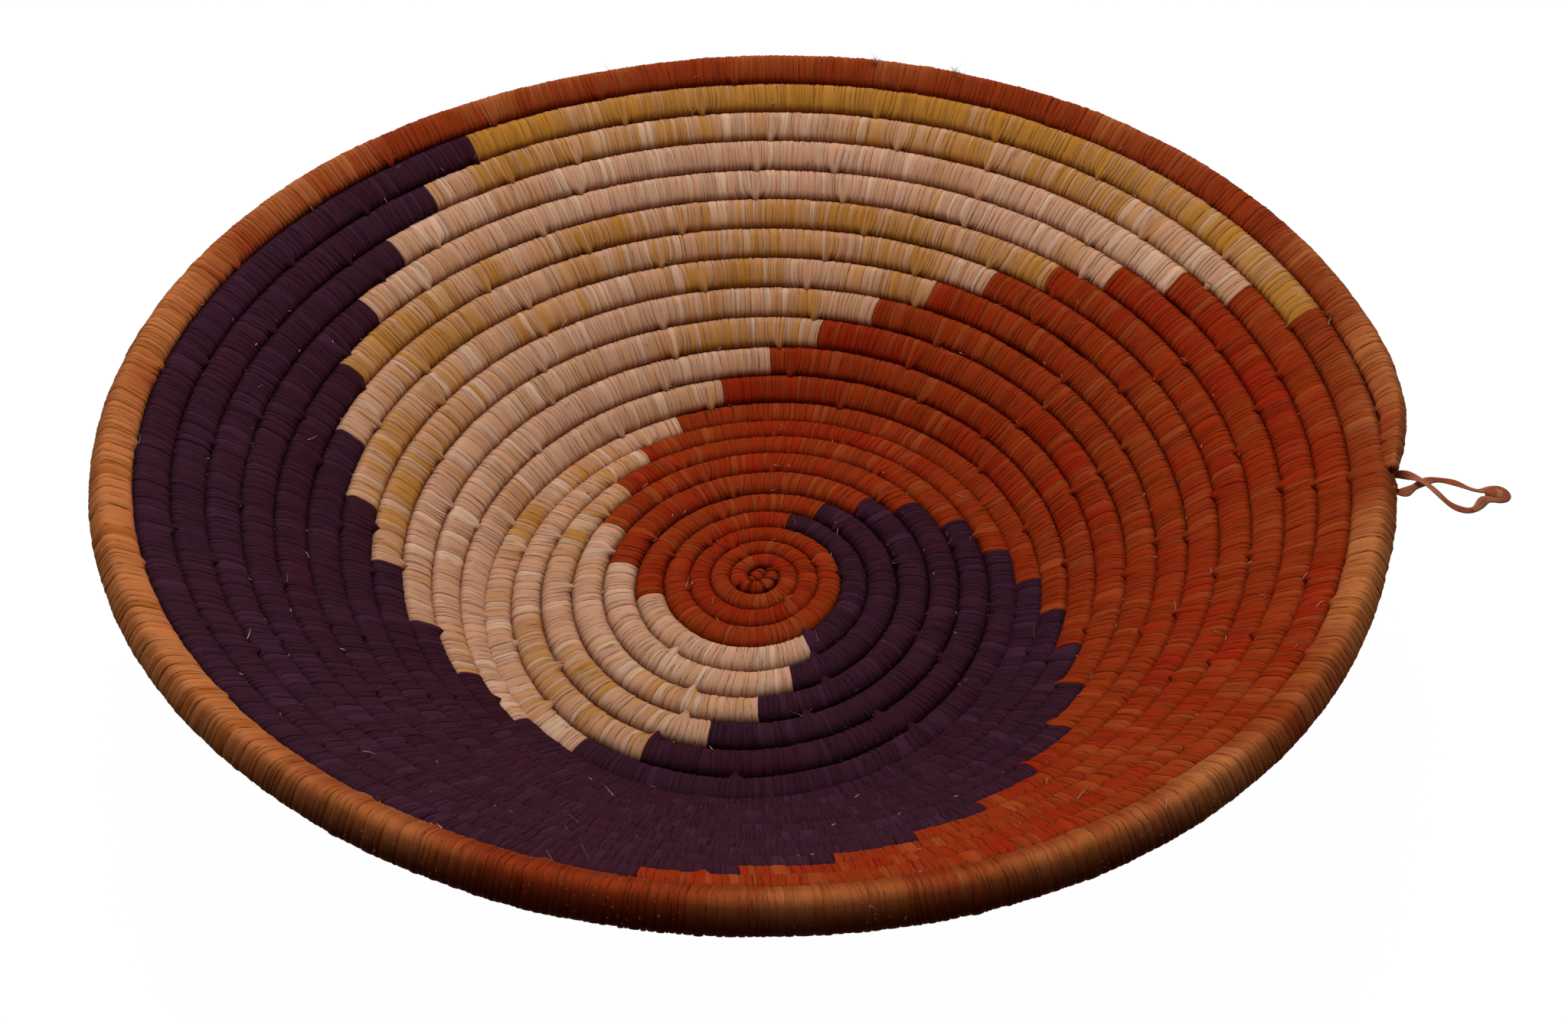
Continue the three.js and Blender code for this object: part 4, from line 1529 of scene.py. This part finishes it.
@dataclass
class CoilStart:
    """The first stretch of the coil, folded to and fro at the eye and pinched by stitches.

    Points are from the spiral's axis on the table.
    """

    route: CoilRoute
    shape: HandShape
    turned: tuple[tuple[float, float, float], ...] = (
        (-4.4, -0.6, 2.2), (-4.3, -2.2, 2.3), (-3.2, -4.1, 2.4), (-1.2, -4.6, 2.5),
        (1.3, -4.0, 2.5), (3.2, -2.0, 2.5), (3.5, 0.6, 2.4), (2.6, 3.0, 2.1))
    turned_radius: float = 2.2
    turned_pinches: tuple[float, ...] = (0.3, 0.5, 0.68, 0.86)
    folded: tuple[tuple[float, float, float], ...] = (
        (-2.4, -2.2, 2.0), (-0.9, -0.9, 2.7), (0.4, 0.6, 2.8), (0.9, 2.4, 2.2))
    folded_radius: float = 2.0
    folded_pinches: tuple[float, ...] = (0.3, 0.62)
    steps: int = 130
    sides: int = 20
    ease: float = 1.2
    strand: float = 1.5
    groove_share: float = 0.16
    groove_depth: float = 0.05
    pinch_spread: float = 0.035
    pinch_depth: float = 0.16
    end_length: float = 1.6
    end_size: float = 0.4
    lump: float = 0.05
    lift: float = 0.1
    pinch_shade: float = 0.9
    strand_shift: float = 90.0
    round_length: float = 14.0

    def build(self, material: bpy.types.Material) -> None:
        """Both lengths, the turned one and the fold over it.

        Args:
            material: What they are made of.
        """
        self.add_length("coil_start", self.turned, self.turned_radius, self.turned_pinches,
                        material)
        self.add_length("coil_start_fold", self.folded, self.folded_radius,
                        self.folded_pinches, material)

    def add_length(self, name: str, stops: Sequence[Sequence[float]], radius: float,
                   pinches: Sequence[float], material: bpy.types.Material) -> None:
        """One length: a tube whose radius dips in a groove after each strand, and more where a
        stitch pinches it.

        Args:
            name: The piece's name.
            stops: Points on its middle, from the spiral's axis on the table.
            radius: Its radius.
            pinches: The stitches' places, as shares of its length.
            material: What it is made of.
        """
        line = smooth_line(stops, self.steps, self.ease)
        length = span(line)
        share = np.linspace(0, 1, self.steps)
        strands = share * length / self.strand
        from_groove = np.minimum(strands % 1, 1 - strands % 1)
        groove = 1 - np.clip(from_groove / self.groove_share, 0, 1)
        pinch = sum(np.exp(-(((share - place) / self.pinch_spread) ** 2)) for place in pinches)
        drawn = smooth_step(np.minimum(share, 1 - share) * length / self.end_length)
        ends = drawn * (1 - self.end_size) + self.end_size
        angle = circle(self.sides)
        lumps = 1 + self.lump * np.cos(3 * angle + 9 * share[:, None])
        dips = self.groove_depth * groove + self.pinch_depth * pinch
        size = (radius * ends * (1 - dips))[:, None] * lumps
        level, above = cross_frames(line)
        rings = (line[:, None] + (size * np.cos(angle))[..., None] * level[:, None]
                 + (size * np.sin(angle))[..., None] * above[:, None])
        _, rise, aside_x, aside_y = self.shape.shift(np.array(0.0), np.array(0.0))
        rings = rings + np.array([self.route.axis[0] + aside_x, self.route.axis[1] + aside_y,
                                  rise + self.lift])
        # Painted shade at the tube's sides, where it meets the coil beside it, and at the stitches'
        # pinches.
        shaded = self.pinch_shade * pinch[:, None]
        crease_shade = np.clip(np.abs(np.cos(angle)) ** 6 + shaded, 0, 1)
        tone = 0.35 + 0.3 * np.sin(5 * strands)[:, None] * np.ones(self.sides)
        piece = tube_mesh(name, rings, strands + self.strand_shift, self.round_length,
                          {"tone": tone, "crease_shade": crease_shade})
        finish_piece(piece, material, BOWL_BODY)


@dataclass
class StrayFibres:
    """Ends of raffia that stand off the wraps, flecks caught in the creases, and two frayed
    tufts on the far rim.

    Each is a thin tapered tube: from its foot it runs off along a lean between the surface's
    normal and the surface, and curls away from that by its share squared.
    """

    coil: WrappedCoil
    hairs: int = 210
    flecks: int = 260
    tufts: tuple[float, ...] = (0.2125, 0.186)
    fibres_in_tuft: int = 13
    rings: int = 8
    sides: int = 5
    foot_angles: tuple[float, float] = (0.62 * math.pi, 0.86 * math.pi)
    free_angles: tuple[float, float] = (0.1, math.pi)
    tuft_angles: tuple[float, float] = (0.28 * math.pi, 0.4 * math.pi)
    hair_lengths: tuple[float, float] = (1.2, 4.0)
    fleck_lengths: tuple[float, float] = (0.4, 1.3)
    tuft_lengths: tuple[float, float] = (1.2, 3.2)
    hair_radii: tuple[float, float] = (0.05, 0.11)
    fleck_radii: tuple[float, float] = (0.08, 0.2)
    leans: tuple[float, float] = (1.0, 1.45)
    tuft_leans: tuple[float, float] = (0.2, 1.1)
    curls: tuple[float, float] = (0.1, 0.7)
    sinks: tuple[float, float] = (-0.2, 0.15)
    first_place: float = 30.0
    last_gap: float = 5.0
    first_stitch: int = 5
    stitch_spread: float = 1.2
    tuft_spread: float = 0.9
    foot_rise: float = 0.02
    bend: float = 1.3
    thinning: float = 0.75

    def build(self, material: bpy.types.Material) -> None:
        """All of them, as one piece.

        Half of the hairs stand by stitches and the others anywhere.

        Args:
            material: What they are made of.
        """
        random = np.random.default_rng(31)
        by_stitch = self.hairs // 2
        tufted = self.fibres_in_tuft * len(self.tufts)
        total = self.hairs + self.flecks + tufted
        along = random.uniform(self.first_place, self.coil.end - self.last_gap, total)
        stitches = self.coil.stitches
        near = stitches[random.integers(self.first_stitch, len(stitches), by_stitch)]
        along[:by_stitch] = near + random.normal(0, self.stitch_spread, by_stitch)
        angle = random.uniform(*self.foot_angles, total)
        angle[by_stitch:self.hairs] = random.uniform(*self.free_angles, self.hairs - by_stitch)
        places = self.coil.route.length_at(np.repeat(self.tufts, self.fibres_in_tuft))
        along[-tufted:] = places + random.normal(0, self.tuft_spread, tufted)
        angle[-tufted:] = random.uniform(*self.tuft_angles, tufted)
        length = random.uniform(*self.hair_lengths, total)
        length[self.hairs:-tufted] = random.uniform(*self.fleck_lengths, self.flecks)
        length[-tufted:] = random.uniform(*self.tuft_lengths, tufted)
        thick = random.uniform(*self.hair_radii, total)
        thick[self.hairs:-tufted] = random.uniform(*self.fleck_radii, self.flecks)
        lean = random.uniform(*self.leans, total)
        lean[-tufted:] = random.uniform(*self.tuft_leans, tufted)
        low = np.full(total, self.foot_rise)
        foot = self.coil.surface(along, angle, low)
        normal = self.coil.surface(along, angle, np.full(total, 1.0)) - foot
        normal /= np.linalg.norm(normal, axis=1, keepdims=True)
        ahead = self.coil.surface(along + 0.4, angle, low) - foot
        ahead -= normal * (ahead * normal).sum(1, keepdims=True)
        ahead /= np.linalg.norm(ahead, axis=1, keepdims=True)
        aside = np.cross(normal, ahead)
        heading = random.uniform(0, FULL, total)[:, None]
        flat = ahead * np.cos(heading) + aside * np.sin(heading)
        bent = ahead * np.cos(heading + self.bend) + aside * np.sin(heading + self.bend)
        start = normal * np.cos(lean)[:, None] + flat * np.sin(lean)[:, None]
        curl = (bent * random.uniform(*self.curls, total)[:, None]
                - normal * random.uniform(*self.sinks, total)[:, None])
        rings = self.sweep(foot, start, curl, bent, length, thick)
        tone = np.broadcast_to(random.uniform(0, 0.9, total)[:, None, None],
                               rings.shape[:3])
        piece = tube_mesh("stray_fibres", rings, np.arange(self.rings) * 0.1, 2.0,
                          {"tone": tone, "crease_shade": np.zeros(rings.shape[:3])})
        finish_piece(piece, material, BOWL_BODY)

    def sweep(self, foot: Array, start: Array, curl: Array, bent: Array, length: Array,
              thick: Array) -> Array:
        """Rings of tapered tubes.

        A tube's middle is its foot plus its length times the sum of the starting direction, by
        the share of the way, and the curl, by that share squared. Its radius falls by a part
        that grows with the share squared.

        Args:
            foot: Where each fibre stands.
            start: The direction in which it sets out.
            curl: Where it curls to, over its length.
            bent: A direction beside its start, which turns the rings.
            length: Its length.
            thick: Its radius at the foot.

        Returns:
            The rings, as fibres x rings x corners x 3.
        """
        share = np.linspace(0, 1, self.rings)[None, :, None]
        lines = foot[:, None] + length[:, None, None] * (start[:, None] * share
                                                         + curl[:, None] * share**2)
        round_angle = circle(self.sides)
        taper = thick[:, None] * (1 - self.thinning * share[..., 0] ** 2)
        first = np.cross(start, bent)
        first /= np.linalg.norm(first, axis=1, keepdims=True)
        second = np.cross(start, first)
        spread = (first[:, None, None] * np.cos(round_angle)[None, None, :, None]
                  + second[:, None, None] * np.sin(round_angle)[None, None, :, None])
        return lines[:, :, None] + taper[..., None, None] * spread


@dataclass
class Studio:
    """The pale floor, the soft light and the camera at the photograph's place."""

    eye: tuple[float, float, float] = (6.05, -300.33, 316.73)
    target: tuple[float, float, float] = (6.05, 22.83, 3.4)
    lens: float = 37.53
    sensor: float = 36.0
    floor_size: float = 6000.0
    floor_drop: float = 0.1
    floor_white: float = 1.03
    floor_share: float = 0.96
    window_place: tuple[float, float, float] = (-20.0, 165.0, 500.0)
    window_watts: float = 2.05
    window_size: float = 320.0

    def build(self) -> None:
        """Everything round the bowl."""
        self.add_camera()
        self.add_floor()
        self.add_world()
        self.add_lamp("window", self.window_place, self.window_watts, self.window_size)

    @staticmethod
    def straight_rays(graph: Graph, seen: bpy.types.Node) -> Socket:
        """1 on rays from the camera, a mirror or glass, from a Light Path node."""
        mirrored = graph.math("MAXIMUM", seen.outputs["Is Glossy Ray"],
                              seen.outputs["Is Transmission Ray"])
        return graph.math("MAXIMUM", seen.outputs["Is Camera Ray"], mirrored)

    def add_camera(self) -> None:
        """A level camera at the eye, turned to the target."""
        data = bpy.data.cameras.new("camera")
        data.lens, data.sensor_width = self.lens, self.sensor
        data.clip_start, data.clip_end = 0.01, 20.0
        camera = bpy.data.objects.new("camera", data)
        bpy.context.scene.collection.objects.link(camera)
        eye, target = np.array(self.eye), np.array(self.target)
        ahead = (target - eye) / np.linalg.norm(target - eye)
        camera.location = eye * MM
        camera.rotation_euler = (math.pi / 2 + math.asin(ahead[2]), 0.0,
                                 math.atan2(ahead[1], ahead[0]) - math.pi / 2)
        bpy.context.scene.camera = camera

    def add_lamp(self, name: str, place: tuple[float, float, float], watts: float,
                 size: float) -> None:
        """A square soft light that faces the bowl.

        Args:
            name: The light's name.
            place: Where it stands, in millimetres.
            watts: Its power.
            size: The length of its side, in millimetres.
        """
        data = bpy.data.lights.new(name, "AREA")
        data.energy, data.size = watts, size * MM
        lamp = bpy.data.objects.new(name, data)
        bpy.context.scene.collection.objects.link(lamp)
        spot = np.array(place) * MM
        lamp.location = spot
        flat = math.hypot(spot[0], spot[1])
        lamp.rotation_euler = (math.atan2(flat, spot[2]), 0.0,
                               math.atan2(spot[1], spot[0]) + math.pi / 2)

    def add_floor(self) -> None:
        """A wide pale floor that shows white to the camera, with the bowl's soft shadow."""
        half, low = self.floor_size / 2, -self.floor_drop
        corners = np.array([[-half, -half, low], [half, -half, low], [half, half, low],
                            [-half, half, low]])
        floor = build_mesh("floor", corners, [np.array([[0, 1, 2, 3]])],
                           [corners[None, :, :2] * MM], {})
        made = bpy.data.materials.new("pale_floor")
        graph = Graph.blank(made)
        seen = graph.node("LightPath")
        tint = graph.mix(seen.outputs["Is Camera Ray"], (0.05, 0.05, 0.05), (0.9, 0.9, 0.9))
        paper = graph.node("BsdfPrincipled", {"Base Color": tint, "Roughness": 0.9})
        white = graph.node("Emission", {"Color": (1.0, 1.0, 1.0), "Strength": self.floor_white})
        share = graph.math("MULTIPLY", self.straight_rays(graph, seen), self.floor_share)
        both = graph.node("MixShader", {0: share, 1: paper.outputs[0], 2: white.outputs[0]})
        graph.close("OutputMaterial", both)
        floor.data.materials.append(made)

    def add_world(self) -> None:
        """A plain white sky, brightest behind the bowl, which the camera sees as white."""
        world = bpy.data.worlds.new("sky")
        bpy.context.scene.world = world
        graph = Graph.blank(world)
        rays = self.straight_rays(graph, graph.node("LightPath"))
        ray = graph.node("SeparateXYZ", {0: graph.node("TexCoord").outputs["Generated"]})
        above = graph.math("GREATER_THAN", ray.outputs[2], 0.0)
        high = graph.math("MULTIPLY_ADD", ray.outputs[2], -0.45, 0.8)
        behind = graph.math("MULTIPLY_ADD", ray.outputs[1], 0.5, 0.5)
        dome = graph.math("MULTIPLY", above, graph.math("MULTIPLY", high, behind))
        strength = graph.math("MAXIMUM", rays, dome)
        back = graph.node("Background", {"Color": (1.0, 1.0, 1.0), "Strength": strength})
        graph.close("OutputWorld", back)


def main() -> None:
    """Builds the studio, the hanging loop and the bowl, in that order."""
    logging.basicConfig(level=logging.INFO)
    bpy.context.scene.view_settings.view_transform = "Standard"
    Studio().build()
    effects = RaffiaEffects()
    materials = {finish: finish.value.material(effects) for finish in Raffia}
    route = CoilRoute()
    loop = HangingLoop()
    loop.build(materials[Raffia.LOOP])
    loop.build_roots(materials[Raffia.RIM])
    shape = HandShape(route)
    coil = WrappedCoil(route, shape)
    coil.build(materials)
    CoilStart(route, shape).build(materials[Raffia.ORANGE])
    StrayFibres(coil).build(materials[Raffia.STRAY])
    GrassBundle(coil).build(grass_material())


if __name__ == "__main__":
    main()
